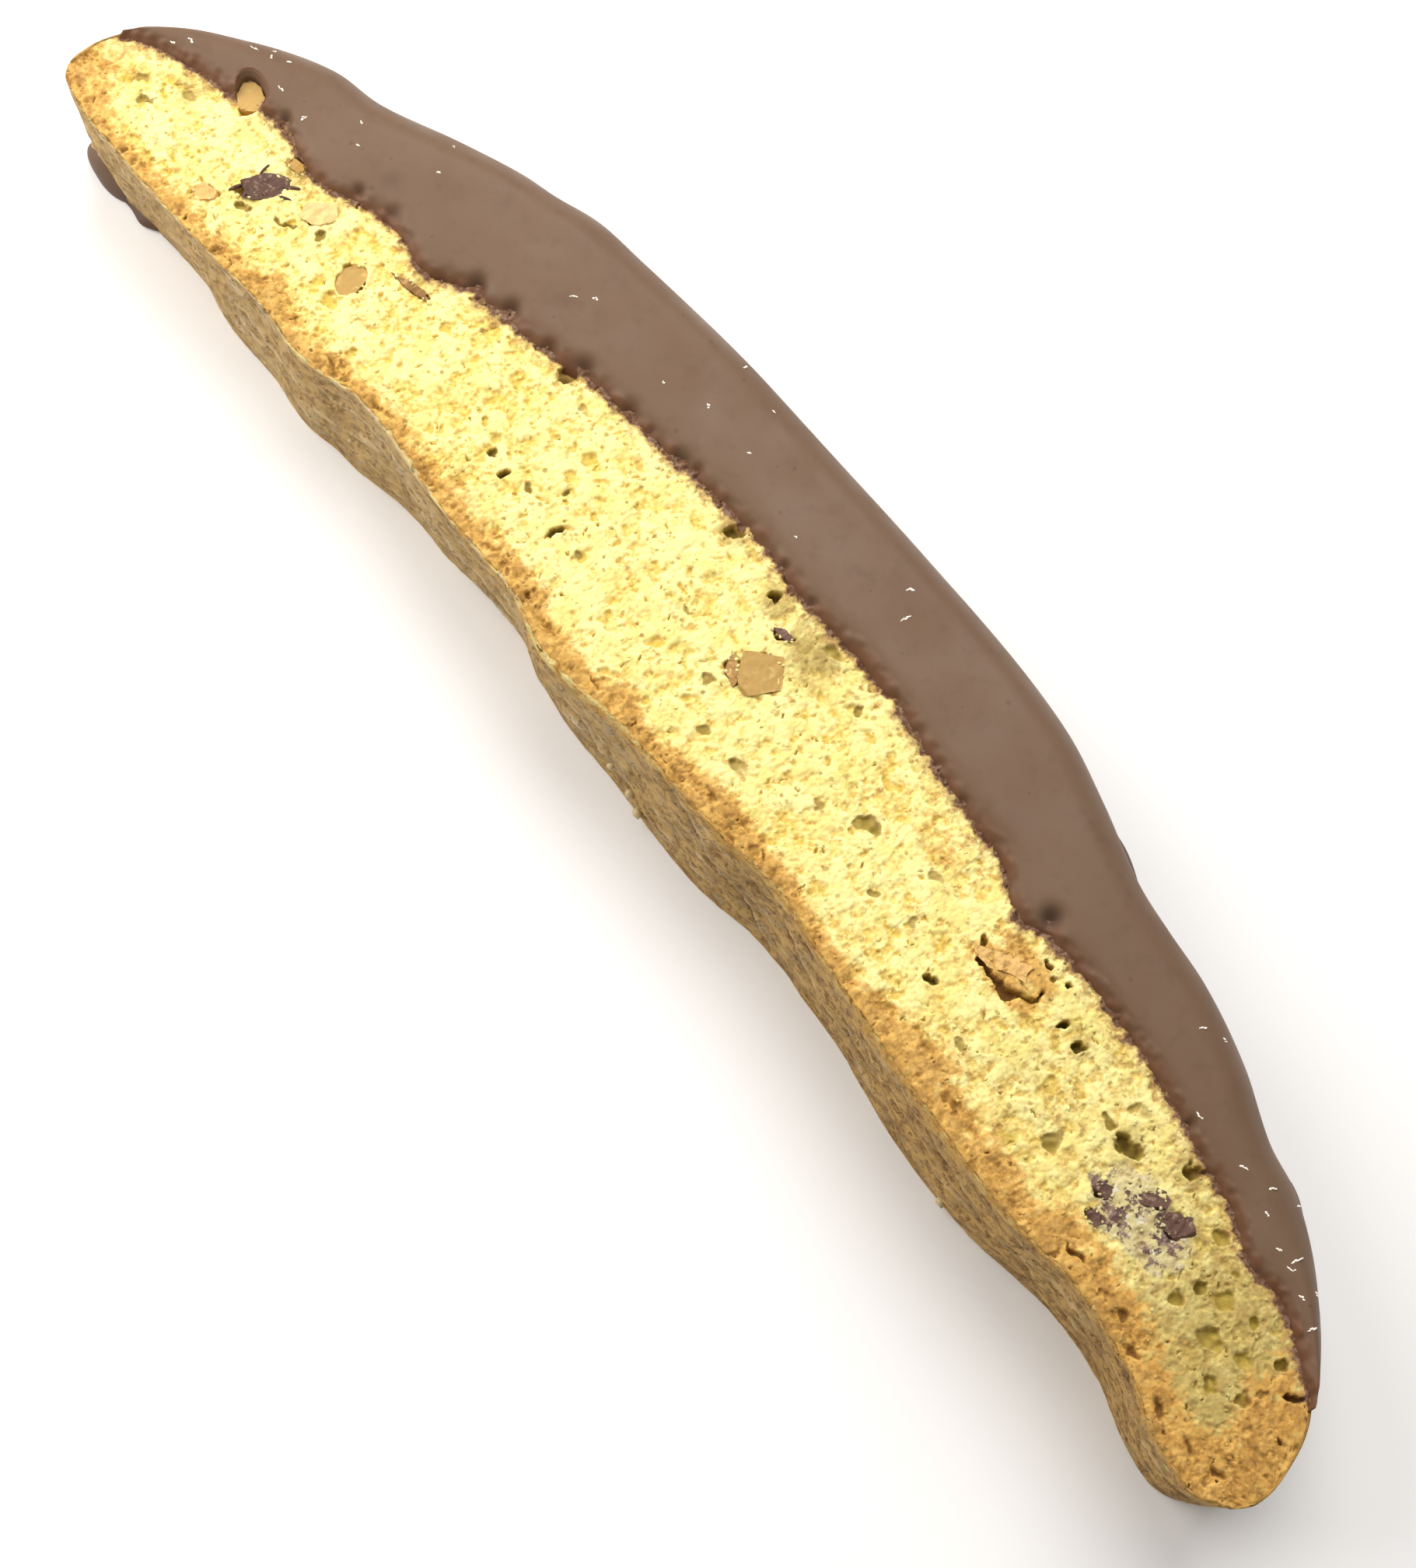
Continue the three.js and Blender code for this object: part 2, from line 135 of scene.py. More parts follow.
def chance(ix, iy, iz, seed):
    """A repeatable number from 0 to 1 for each cell of a lattice."""
    n = ix.astype(np.int64) * 73856093 ^ iy.astype(np.int64) * 19349663
    n = n ^ (np.asarray(iz).astype(np.int64) * 83492791) ^ (seed * 668265263)
    for _ in range(2):
        n = (n ^ (n >> 15)) * 2246822519 & 0xFFFFFFFF
        n = (n ^ (n >> 13)) * 3266489917 & 0xFFFFFFFF
    return (n ^ (n >> 16)) / 0xFFFFFFFF


def soft_noise(x, y, seed):
    """Smooth noise from -1 to 1 with bumps about one unit across, turned a new way by each seed."""
    cosine, sine = math.cos(seed * 2.4), math.sin(seed * 2.4)
    x, y = x * cosine + y * sine, y * cosine - x * sine
    ix, iy = np.floor(x), np.floor(y)
    tx, ty = ease(0, 1, x - ix), ease(0, 1, y - iy)
    near = lerp(chance(ix, iy, 0 * ix, seed), chance(ix + 1, iy, 0 * ix, seed), tx)
    far = lerp(chance(ix, iy + 1, 0 * ix, seed), chance(ix + 1, iy + 1, 0 * ix, seed), tx)
    return lerp(near, far, ty) * 2 - 1


def creases(x, y, size, seed):
    """Thin creases between rounded lumps about that size: 1 in a crease, 0 on a lump."""
    return 1 - np.clip(np.abs(soft_noise(x / size, y / size, seed)) * 2.6, 0, 1) ** 0.7


def bubbles(x, y, spacing, share, small, large, deep, seed, drawn_out=0.7):
    """How deep random bubbles lie under each point, at most one to a square of that spacing."""
    column, row = np.floor(x / spacing), np.floor(y / spacing)
    depth = np.zeros_like(x)
    for side in (-1, 0, 1):
        for up in (-1, 0, 1):
            cx, cy = column + side, row + up
            roll = [chance(cx, cy, 0 * cx + k, seed) for k in range(6)]
            dx = x - (cx + 0.15 + 0.7 * roll[0]) * spacing
            dy = y - (cy + 0.15 + 0.7 * roll[1]) * spacing
            turn = roll[4] * math.pi
            along = dx * np.cos(turn) + dy * np.sin(turn)
            across = dy * np.cos(turn) - dx * np.sin(turn)
            radius = lerp(small, large, roll[2] ** 2)
            distance = np.hypot(along / (1 + drawn_out * roll[5]), across) / radius
            pit = deep * (0.4 + 0.6 * radius / large) * (1 - ease(0.6, 1.08, distance))
            depth = np.maximum(depth, np.where(roll[3] < share, pit, 0))
    return depth


base_crust = smooth_curve(BASE_CRUST)
dome = smooth_curve(DOME)
chocolate_line = smooth_curve(CHOCOLATE_LINE)
base_lean = smooth_curve(BASE_LEAN)


def dome_skew(x):
    """How much longer a step across the dome is along y than square to it."""
    return np.minimum(np.hypot(1, dome(x + 0.5) - dome(x - 0.5)), 2.4)


def coat_cover(x):
    return COAT_SIDE * ease(LEFT_END, 9, x) * (1 - ease(172, RIGHT_END - 1, x))


def dome_lean(x, z):
    fade = ease(4, 18, x) * (1 - ease(173, RIGHT_END, x))
    return DOME_FLARE * dome_skew(x) * fade * np.power(np.clip(1 - z / THICKNESS, 0, 1), 1.2)


def end_corner(x):
    """How far the slice's outline turns in towards its middle next to either end."""
    inside = np.clip(np.minimum(x - LEFT_END, RIGHT_END - x), 0, CORNER_ROUND)
    return CORNER_ROUND - np.sqrt(inside * (2 * CORNER_ROUND - inside))


def tip_undercut(x, z):
    fade = np.clip(1 - x / TIP_REACH, 0, 1)
    return TIP_UNDERCUT * np.clip(1 - z / THICKNESS, 0, 1) * fade * fade


def stations(start, stop, count, crowding=0.6):
    """Positions along x, closer together towards both ends."""
    even = np.linspace(0, 1, count)
    return lerp(start, stop, lerp(even, (1 - np.cos(math.pi * even)) / 2, crowding))


def crumb_warp(x, y):
    """Nudges points about, so that bubbles come out ragged."""
    nudge_x, nudge_y = 0 * x, 0 * y
    for size, amount, seed in [(1.6, 0.42, 1), (0.8, 0.26, 3), (0.38, 0.15, 5)]:
        nudge_x = nudge_x + amount * soft_noise(x / size, y / size, seed)
        nudge_y = nudge_y + amount * soft_noise(x / size, y / size, seed + 1)
    return x + nudge_x, y + nudge_y


def open_crumb(x, y):
    """How far cut crumb lies below the knife's plane, without the bubbles that have a name."""
    wx, wy = crumb_warp(x, y)
    hollows = soft_noise(wx / 1.5, wy / 1.3, 15) + 0.7 * soft_noise(wx / 0.6, wy / 0.6, 16)
    low = ease(-0.4, 0.9, hollows)
    lumps = 0.15 * creases(wx, wy, 0.95, 13) + 0.13 * creases(x, y, 0.45, 14)
    waves = 0.10 * soft_noise(x / 3.7, y / 3.1, 17)
    grains = 0.05 * soft_noise(x / 0.32, y / 0.32, 18) + 0.06 * soft_noise(x / 0.22, y / 0.22, 19)
    depth = 0.16 + 0.22 * low + lumps * (0.35 + 0.75 * low) + waves + grains
    for spacing, share, small, large, deep, seed, drawn_out in [
        (3.4, 0.28, 0.35, 0.85, 0.48, 10, 0.7),
        (1.5, 0.36, 0.16, 0.38, 0.42, 11, 0.8),
        (1.5, 0.28, 0.07, 0.13, 0.7, 12, 3.0),
    ]:
        holes = bubbles(wx, wy, spacing, share, small, large, deep, seed, drawn_out)
        depth = np.maximum(depth, 0.15 + holes + grains)
    upper_face = 1 - ease(0.75 * UNDERSIDE_SHIFT, 0.8 * UNDERSIDE_SHIFT, x)
    return depth * (1 - TIGHTER_CRUMB * ease(108, 140, x) * upper_face)


def lengthwise_shell(name, x, lines, paint=None, cap_rows=0, bulge=0.0):
    """One closed shell from lines along its whole length, each with a y and a z for every x."""
    y, z = (np.array([line[k] for line in lines + lines[:1]]).T for k in (0, 1))
    x = np.repeat(x[:, None], y.shape[1], axis=1)
    if cap_rows:
        inwards = np.linspace(0, 1, cap_rows, endpoint=False)
        for end, side in ((0, -1), (-1, 1)):
            middle_y, middle_z = y[end, :-1].mean(), z[end, :-1].mean()
            shrink = inwards[:, None]
            cap = [
                x[end] + side * bulge * np.sqrt(1 - shrink**2) * np.ones_like(x[end]),
                middle_y + (y[end] - middle_y) * shrink,
                middle_z + (z[end] - middle_z) * shrink,
            ]
            order = 1 if end == 0 else -1
            x, y, z = (
                np.concatenate([new[::order], old][::order]) for new, old in zip(cap, (x, y, z))
            )
    points = np.stack([x + tip_undercut(x, z), y, z], axis=-1)
    bm = bmesh.new()
    rows, columns = y.shape[0] - 1, y.shape[1] - 1
    bmesh.ops.create_grid(bm, x_segments=rows, y_segments=columns, size=0.5)
    flat = np.array([vert.co[:2] for vert in bm.verts]) + 0.5
    row, column = np.rint(flat * [rows, columns]).astype(int).T
    placed = (points[row, column] - SLICE_CORNER) * MM
    for vert, at in zip(bm.verts, placed):
        vert.co = at
    if paint is not None:
        layer = bm.verts.layers.float_color.new("bake")
        for vert, mark in zip(bm.verts, paint(x, y, z)[row, column]):
            vert[layer] = mark
    bmesh.ops.remove_doubles(bm, verts=bm.verts, dist=1e-7)
    bmesh.ops.holes_fill(bm, edges=bm.edges, sides=0)
    bmesh.ops.recalc_face_normals(bm, faces=bm.faces)
    return finished_piece(name, bm)


def finished_piece(name, bm, sharp_angle=None):
    """Makes the finished mesh an object that moves with the biscotti."""
    for face in bm.faces:
        face.smooth = len(face.verts) < 5
    if sharp_angle:
        for edge in bm.edges:
            edge.smooth = edge.calc_face_angle(0) < sharp_angle
    mesh = bpy.data.meshes.new(name)
    bm.to_mesh(mesh)
    bm.free()
    made = bpy.data.objects.new(name, mesh)
    bpy.context.scene.collection.objects.link(made)
    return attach(made, "root")


def lip_height(x):
    height = np.zeros_like(x)
    for at, spread, stands in TORN_LIPS:
        height += stands * np.exp(-(((x - at) / spread) ** 2))
    ragged = 0.55 + 0.6 * soft_noise(x / 1.1, 0 * x, 20) + 0.4 * soft_noise(x / 0.45, 0 * x, 21)
    return height * np.clip(ragged, 0, 1.3) - 0.15


def sheet_ridges(x, z):
    """The base crust's own relief, out from the slice: long folds, thin ridges and pits."""
    folds = 0.34 * soft_noise(x / 11, z / 4.5, 22) + 0.26 * soft_noise(x / 4.2, z / 2.2, 23)
    strands = 0.10 * soft_noise(x / 2.4, z / 0.7, 24) + 0.10 * soft_noise(x / 0.9, z / 0.6, 25)
    pits = bubbles(x / 2, z, 1.3, 0.35, 0.12, 0.34, 0.3, 26)
    crumbly = 0.22 * soft_noise(x / 0.6, z / 0.6, 53) * ease(12.5, 15, z) * ease(55, 75, x)
    groove, ledge = wall_folds(x, z)
    marked = 0.22 * thin_ridges(x, z) + 0.2 * ledge - groove - 0.3 * wall_cracks(x, z)
    return folds + strands + crumbly + marked - pits


def wall_folds(x, z):
    """How deep the grooves of the long folds lie, and 1 on the ledges over them."""
    deepest, ledges = 0 * x, 0 * x
    for x0, z0, x1, z1, deep in WALL_FOLDS:
        along = (x - x0) / (x1 - x0)
        above = z - lerp(z0, z1, along) - 0.9 * soft_noise(x / 3.1, 0 * x, 57)
        there = ease(0, 0.2, along) * (1 - ease(0.75, 1, along))
        over_crack = ease(-0.1, 0.25, above)
        deepest = np.maximum(deepest, deep * there * ease(-2.4, -0.1, above) * (1 - over_crack))
        ledges = np.maximum(ledges, there * over_crack * (1 - ease(0.4, 1.3, above)))
    return deepest, ledges


def wall_cracks(x, z):
    """The long cracks between the base crust's folds: 1 in a crack, 0 outside."""
    wander = z + 0.8 * soft_noise(x / 5, z / 5, 54)
    long_cracks = creases(x / 5, wander, 1.6, 51) ** 2
    return long_cracks * ease(-0.15, 0.25, soft_noise(x / 7, z / 4, 52)) * ease(20, 60, x)


def thin_ridges(x, z):
    wander = z + 1.1 * soft_noise(x / 9, z / 6, 27)
    crest = 1 - np.abs(soft_noise(x / 16, wander / 1.3, 28)) * 7
    broken = ease(-0.1, 0.3, soft_noise(x / 2.8, z / 1.2, 29))
    return np.clip(crest, 0, 1) * broken


crust_x = stations(LEFT_END, RIGHT_END, CRUST_ROWS)
crust_low = base_crust(crust_x) + end_corner(crust_x)
crust_high = dome(crust_x) - coat_cover(crust_x) * dome_skew(crust_x) - end_corner(crust_x)
crust_foot = crust_low + np.minimum(base_lean(crust_x), (crust_high - crust_low) / 4)
crumb_line = np.clip(chocolate_line(crust_x), crust_low + 0.8, crust_high - 0.6)
tray_low = crust_low + CRUST_RIM
tray_high = np.maximum(np.minimum(crumb_line + TRAY_UNDER_COAT, crust_high - 0.6), tray_low + 0.3)
from_end = np.minimum(crust_x - LEFT_END, RIGHT_END - crust_x)
tray_floor = THICKNESS - 0.15 - TRAY_DEPTH * ease(0.25, 0.5, from_end)
under_coat = coat_cover(crust_x) / COAT_SIDE
film_line = lerp(base_crust(crust_x) - 5, chocolate_line(crust_x), ease(9, 26, crust_x))

crust_lines = []
rim_top = THICKNESS - 0.2 + lip_height(crust_x)
for across, drop in [(1, 0.45), (0.7, 0.22), (0.4, 0.12), (0.1, 0.14)]:
    aside = 0 * crust_x + across * 5
    wobble = 0.16 * soft_noise(crust_x / 0.9, aside, 30)
    wobble = wobble + 0.08 * soft_noise(crust_x / 0.4, aside, 31)
    crumbly = 0.16 * soft_noise(crust_x / 0.8, aside * 2, 32)
    crumbly = crumbly + 0.08 * soft_noise(crust_x / 0.4, aside, 33)
    crust_lines.append((crust_low + CRUST_RIM * across + wobble, rim_top - drop + crumbly))
for step in range(WALL_STEPS):
    z = lerp(rim_top - 0.2, 0 * crust_x + 0.15, step / (WALL_STEPS - 1))
    rise = z / THICKNESS
    fade = np.sin(math.pi * np.clip(rise * 0.94 + 0.03, 0, 1)) ** 0.5
    out = sheet_ridges(crust_x, z) * fade * ease(0, 4, from_end)
    crust_lines.append((lerp(crust_foot, crust_low, rise) - out, z))
for step in range(UNDERSIDE_STEPS):
    across = step / (UNDERSIDE_STEPS - 1)
    y = lerp(crust_foot + 0.25, crust_high + dome_lean(crust_x, 0) - 0.25, across)
    filmed = ease(-0.6, 0, y - film_line)
    edge = 1 - 4 * across * (1 - across)
    cut = np.clip(open_crumb(crust_x + UNDERSIDE_SHIFT, y) - 0.2, 0, 1.2) * (1 - edge**8)
    crust_lines.append((y, lerp(cut, 0 * y + COAT_BELOW + 0.08, filmed)))
for step in range(DOME_STEPS):
    z = lerp(COAT_BELOW + 0.3, THICKNESS - 1.6, step / (DOME_STEPS - 1))
    crust_lines.append((crust_high + dome_lean(crust_x, z), 0 * crust_x + z))
for turn in (0.33, 0.66, 1.0):
    angle = turn * math.pi / 2
    z = THICKNESS - 0.15 - 0.5 * under_coat - 1.4 * (1 - math.sin(angle))
    crust_lines.append((crust_high - 1.2 * (1 - math.cos(angle)) * under_coat, z))
crust_lines.append((tray_high + 0.05, THICKNESS - 0.15 - 0.5 * under_coat))
for across in (0, 0.5, 1):
    crust_lines.append((lerp(tray_high, tray_low, across), tray_floor))


def paint_crust(x, y, z):
    """Marks for the crust: toasted, near chocolate and painted crease shade, cut face, pale ridge."""
    crumbly = 0.9 * soft_noise(x / 2.2, z / 1.5, 49) + 0.5 * soft_noise(x / 0.7, z / 0.7, 50)
    crumbly = crumbly * ease(55, 75, x) + 1.3 * ease(65, 80, x)
    wall = ease(0.25, 0.6, z) * (1 - ease(15.2, 15.8, z + crumbly))
    base_side = 1 - ease(2.0, 4.0, y - base_crust(x))
    ends = ease(6, 0, x) + ease(172, 180, x)
    pale_rim = ease(15.2, 15.5, z + 0.2 * soft_noise(x / 1.5, z, 35))
    pale_rim = pale_rim * ease(14, 20, x) * (1 - ease(80, 95, x))
    toasted = np.clip(ends + 0.95 * ease(70, 145, x) * wall + 0.5 * ease(1.6, 0.6, z), 0, 1)
    rim = 0.75 + 0.35 * soft_noise(x / 1.3, z, 34)
    browned_rim = np.maximum(0.6 * ease(15.4, 15.7, z), ease(12.8, 14.2, z) * ease(55, 75, x))
    toasted = np.maximum(toasted * (1 - pale_rim), rim * browned_rim * (1 - pale_rim))
    soaked = 1 - ease(0.0, 1.4, np.abs(dome(x) - coat_cover(x) * dome_skew(x) - y))
    groove, ledge = wall_folds(x, z)
    # Painted shade in the grooves of the long folds and in the long cracks, carried with the soak mark.
    soaked = np.maximum(soaked, (0.9 * wall_cracks(x, z) + 1.2 * groove) * wall * base_side)
    cut = 1 - wall
    lips = ease(15.95, 16.05, z) * (1 - 0.8 * ease(75, 95, x))
    ridge = np.clip((thin_ridges(x, z) + 0.5 * ledge) * wall * base_side + lips + pale_rim, 0, 1)
    return np.stack([toasted, np.clip(soaked, 0, 1), cut, ridge], axis=-1)


crust = lengthwise_shell("biscuit_crust", crust_x, crust_lines, paint_crust, CAP_ROWS, bulge=0.12)
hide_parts("biscuit")


def feed(tree, socket, value):
    """Links a socket, or sets its value."""
    if isinstance(value, bpy.types.NodeSocket):
        tree.links.new(value, socket)
    else:
        socket.default_value = value


def add(tree, kind, inputs=None, **settings):
    """A new shader node of that kind."""
    made = tree.nodes.new("ShaderNode" + kind)
    for name, value in settings.items():
        setattr(made, name, value)
    for name, value in (inputs or {}).items():
        feed(tree, made.inputs[name], value)
    return made


def tint(tree, share, under, over, how="MIX"):
    """Lays one colour over another where share is 1."""
    inputs = {0: share, 6: under, 7: over}
    return add(tree, "Mix", inputs, data_type="RGBA", blend_type=how).outputs[2]


def mask(tree, value, low, high):
    """0 where a value is below low, 1 above high, and smooth between them."""
    inputs = {"Value": value, "From Min": low, "From Max": high}
    return add(tree, "MapRange", inputs, interpolation_type="SMOOTHSTEP").outputs[0]


def maths(tree, how, a, b=0.0):
    return add(tree, "Math", {0: a, 1: b}, operation=how).outputs[0]


def grain(tree, where, size, detail=3.0, rough=0.5):
    """Noise with bumps about that many millimetres across."""
    inputs = {"Vector": where, "Scale": 1 / size, "Detail": detail, "Roughness": rough}
    return add(tree, "TexNoise", inputs).outputs[0]


def uneven(tree, value, noise, amount):
    """A value with its edges broken up by noise."""
    inputs = {0: noise, 1: amount, 2: -0.5 * amount}
    spread = add(tree, "Math", inputs, operation="MULTIPLY_ADD").outputs[0]
    return maths(tree, "ADD", value, spread)


def in_millimetres(tree, stretch=(1, 1, 1)):
    """The piece's own coordinates in millimetres, drawn out by stretch."""
    place = add(tree, "TexCoord").outputs["Object"]
    scale = [1 / (MM * s) for s in stretch]
    return add(tree, "Mapping", {"Vector": place, "Scale": scale}).outputs[0]


def make_pinholes():
    """A shared effect: ragged pinholes of uneven size, scattered over a surface."""
    raggedness = 0.35
    unevenness = 0.8
    group = bpy.data.node_groups.new("pinholes", "ShaderNodeTree")
    interface = group.interface
    interface.new_socket(name="Vector", in_out="INPUT", socket_type="NodeSocketVector")
    for name, value in (("Spacing", 1.0), ("Share", 0.5), ("Size", 0.3)):
        socket = interface.new_socket(name=name, in_out="INPUT", socket_type="NodeSocketFloat")
        socket.default_value = value
    interface.new_socket(name="Mask", in_out="OUTPUT", socket_type="NodeSocketFloat")
    asked = group.nodes.new("NodeGroupInput").outputs
    given = group.nodes.new("NodeGroupOutput")
    ragged = add(group, "TexNoise", {"Vector": asked["Vector"], "Scale": 4.0, "Detail": 2.0})
    middle = {0: ragged.outputs["Color"], 1: (0.5,) * 3}
    nudge = add(group, "VectorMath", middle, operation="SUBTRACT")
    nudge = add(group, "VectorMath", {0: nudge.outputs[0], "Scale": raggedness}, operation="SCALE")
    warped = add(group, "VectorMath", {0: asked["Vector"], 1: nudge.outputs[0]})
    scale = maths(group, "DIVIDE", 1.0, asked["Spacing"])
    cells = add(group, "TexVoronoi", {"Vector": warped.outputs[0], "Scale": scale})
    split = add(group, "SeparateColor", {0: cells.outputs["Color"]})
    there = maths(group, "LESS_THAN", split.outputs[0], asked["Share"])
    radius = maths(group, "MULTIPLY_ADD", split.outputs[1], unevenness)
    radius = maths(group, "MULTIPLY", radius, asked["Size"])
    hole = maths(group, "LESS_THAN", cells.outputs["Distance"], radius)
    feed(group, given.inputs["Mask"], maths(group, "MULTIPLY", hole, there))
    return group


pinholes = make_pinholes()


def pinhole_mask(tree, where, spacing, share, size):
    inputs = {"Vector": where, "Spacing": spacing, "Share": share, "Size": size}
    made = tree.nodes.new("ShaderNodeGroup")
    made.node_tree = pinholes
    for name, value in inputs.items():
        feed(tree, made.inputs[name], value)
    return made.outputs["Mask"]


def new_material(name, piece):
    made = bpy.data.materials.new(name)
    made.use_nodes = True
    piece.data.materials.append(made)
    return made.node_tree, made.node_tree.nodes["Principled BSDF"]


def baked_marks(tree):
    """The marks painted on a baked piece: its red, green and blue parts, and alpha."""
    marks = add(tree, "Attribute", attribute_name="bake")
    split = add(tree, "SeparateColor", {0: marks.outputs["Color"]})
    return [*split.outputs[:3], marks.outputs["Alpha"]]


SHEET_TAN = (0.54, 0.365, 0.15, 1)
SHEET_FLOUR = (0.74, 0.60, 0.39, 1)
SHEET_BROWN = (0.30, 0.18, 0.06, 1)
CUT_CRUMB = (0.74, 0.60, 0.24, 1)
TOASTED = (0.56, 0.29, 0.06, 1)
WELL_BAKED = (0.20, 0.095, 0.028, 1)
FIBRE_TAN = (0.58, 0.345, 0.11, 1)
PALE_FIBRE = (0.64, 0.43, 0.165, 1)
SCORCHED_AND_SHADE = (0.15, 0.065, 0.022, 1)

tree, shader = new_material("base_crust", crust)
toasted, soaked, cut, ridge = baked_marks(tree)
where = in_millimetres(tree)
strands = grain(tree, in_millimetres(tree, (1.6, 1, 1)), 1.3, 6, 0.68)
mottled = grain(tree, in_millimetres(tree, (1.15, 1, 1)), 1.4, 9, 0.74)
colour = tint(tree, mask(tree, mottled, 0.42, 0.6), SHEET_TAN, SHEET_BROWN)
blotches = mask(tree, grain(tree, in_millimetres(tree, (3, 1, 1)), 3.5, 5, 0.6), 0.48, 0.62)
well_baked = maths(tree, "MULTIPLY", toasted, 0.75)
well_baked = maths(tree, "ADD", well_baked, maths(tree, "MULTIPLY", blotches, 0.3))
baked_fibres = tint(tree, mask(tree, mottled, 0.45, 0.57), FIBRE_TAN, WELL_BAKED)
colour = tint(tree, well_baked, colour, baked_fibres)
flour = tint(tree, well_baked, SHEET_FLOUR, PALE_FIBRE)
floury = maths(tree, "MULTIPLY", mask(tree, uneven(tree, strands, mottled, 1.2), 0.5, 0.68), 0.42)
colour = tint(tree, floury, colour, flour)
colour = tint(tree, maths(tree, "MULTIPLY", ridge, 0.85), colour, flour)
drawn = in_millimetres(tree, (1.4, 1, 1))
# Pores and dashes dip in the bump below and are painted dark as their shade.
pores = pinhole_mask(tree, drawn, 0.55, 0.45, 0.26)
dashes = mask(tree, grain(tree, drawn, 0.5, 6, 0.68), 0.58, 0.64)
pit_shade = maths(tree, "MULTIPLY", maths(tree, "MAXIMUM", pores, dashes), 0.5)
colour = tint(tree, pit_shade, colour, SCORCHED_AND_SHADE)
cut_look = tint(tree, mask(tree, grain(tree, where, 1.4, 5, 0.65), 0.45, 0.62), CUT_CRUMB, TOASTED)
cut_look = tint(tree, maths(tree, "MULTIPLY", toasted, 0.85), cut_look, TOASTED)
browned = maths(tree, "MULTIPLY", mask(tree, grain(tree, where, 0.5, 5, 0.65), 0.5, 0.64), toasted)
cut_look = tint(tree, maths(tree, "MULTIPLY", browned, 0.7), cut_look, WELL_BAKED)
colour = tint(tree, cut, colour, cut_look)
# Dark where chocolate soaked the crust, and painted shade in its grooves and cracks.
colour = tint(tree, maths(tree, "MULTIPLY", soaked, 0.55), colour, SCORCHED_AND_SHADE)
feed(tree, shader.inputs["Base Color"], colour)
shader.inputs["Roughness"].default_value = 0.85
shader.inputs["Specular IOR Level"].default_value = 0.25
height = maths(tree, "ADD", mottled, maths(tree, "MULTIPLY", strands, 0.6))
height = maths(tree, "SUBTRACT", height, maths(tree, "MULTIPLY", pit_shade, 0.5))
bump = add(tree, "Bump", {"Strength": 0.9, "Distance": 0.0005, "Height": height})
feed(tree, shader.inputs["Normal"], bump.outputs[0])

# ---- the cut crumb --------------------------------------------------------------------
# The upper cut face: dry, open crumb that the knife tore into lumps, bubbles and pinholes,
# golden along the crusts and soaked with chocolate next to the coat. It fills the tray.

# Bubbles that are big enough to have a place of their own: x, y, length, width, turn, depth.
NAMED_BUBBLES = [
    (5.4, 6.5, 1.9, 0.8, 60, 0.9), (7.7, 4.9, 1.3, 0.9, 20, 1.0), (10.4, 9.2, 2.4, 1.3, 30, 0.9),
    (23.6, 5.4, 1.2, 0.9, 10, 1.2), (30.6, 9.4, 1.4, 1.1, 50, 1.2), (27.2, 7.6, 2.6, 0.8, 20, 1.3),
    (57.4, 18.9, 1.9, 1.5, 60, 1.5), (61.4, 18.0, 1.0, 0.9, 0, 0.9), (59.2, 7.9, 1.3, 1.1, 20, 1.4),
    (61.6, 7.6, 1.4, 1.1, 60, 1.5), (64.5, 8.2, 1.0, 0.9, 0, 1.2), (67.1, 10.7, 1.1, 0.9, 40, 1.2),
    (69.7, 7.4, 1.8, 0.8, 70, 1.4), (72.5, 7.6, 1.2, 0.9, 30, 1.0), (48.8, 15.2, 1.2, 1.0, 0, 0.7),
    (80.4, 20.9, 1.9, 1.3, 50, 1.6), (88.2, 19.5, 1.6, 1.1, 30, 1.7), (96.0, 20.0, 2.3, 1.7, 20, 1.1),
    (94.0, 5.5, 1.4, 0.9, 60, 1.0), (98.7, 5.8, 1.5, 1.2, 20, 1.1), (101.8, 17.9, 1.4, 1.0, 40, 1.1),
    (110.9, 11.4, 2.7, 1.4, 20, 1.2), (116.2, 7.5, 1.2, 0.9, 60, 1.0), (125.9, 6.0, 1.6, 1.1, 30, 1.4),
    (137.0, 12.9, 1.5, 0.8, 80, 1.9), (139.7, 12.2, 1.8, 1.4, 40, 1.8), (144.4, 4.6, 2.6, 2.2, 30, 1.2),
    (149.2, 9.7, 3.4, 1.5, 10, 1.5), (155.1, 12.9, 2.1, 1.6, 40, 1.6), (167.0, 3.5, 2.8, 2.4, 20, 0.8),
    (175.6, 5.5, 2.2, 0.9, 60, 1.2), (177.6, 2.1, 1.1, 0.9, 0, 1.0), (163.2, 6.2, 1.6, 1.3, 0, 1.1),
    (170.0, 0.6, 2.2, 1.0, 10, 0.8), (146.5, 9.6, 1.4, 1.1, 0, 1.2), (132.5, 4.0, 1.4, 1.0, 0, 0.9),
    (45.3, 17.0, 1.0, 0.7, 20, 1.0), (83.5, 12.2, 1.3, 0.9, 20, 0.9), (106.5, 9.0, 1.0, 0.8, 0, 0.9),
    (165.2, 6.6, 2.4, 2.0, 40, 0.7), (170.3, 4.4, 2.2, 1.9, 0, 0.7), (162.4, 3.6, 2.0, 1.6, 70, 0.8),
    (168.6, 7.4, 2.0, 1.5, 20, 0.8), (172.6, 2.0, 1.9, 1.5, 50, 0.8), (164.4, 9.3, 1.7, 1.2, 30, 0.7),
    (160.9, 10.6, 1.9, 1.5, 0, 0.8), (147.6, 12.6, 2.6, 1.9, 20, 0.6), (172.9, 6.6, 1.5, 1.1, 60, 0.9),
    (119.0, 12.8, 1.6, 1.1, 20, 0.7), (121.0, 8.4, 1.1, 0.9, 0, 0.8), (90.0, 8.9, 1.7, 1.4, 0, 0.9),
    (131.9, 15.6, 1.1, 0.9, 0, 1.4), (133.0, 15.1, 0.9, 0.7, 40, 1.2), (134.8, 15.6, 0.8, 0.7, 0, 1.4),
]
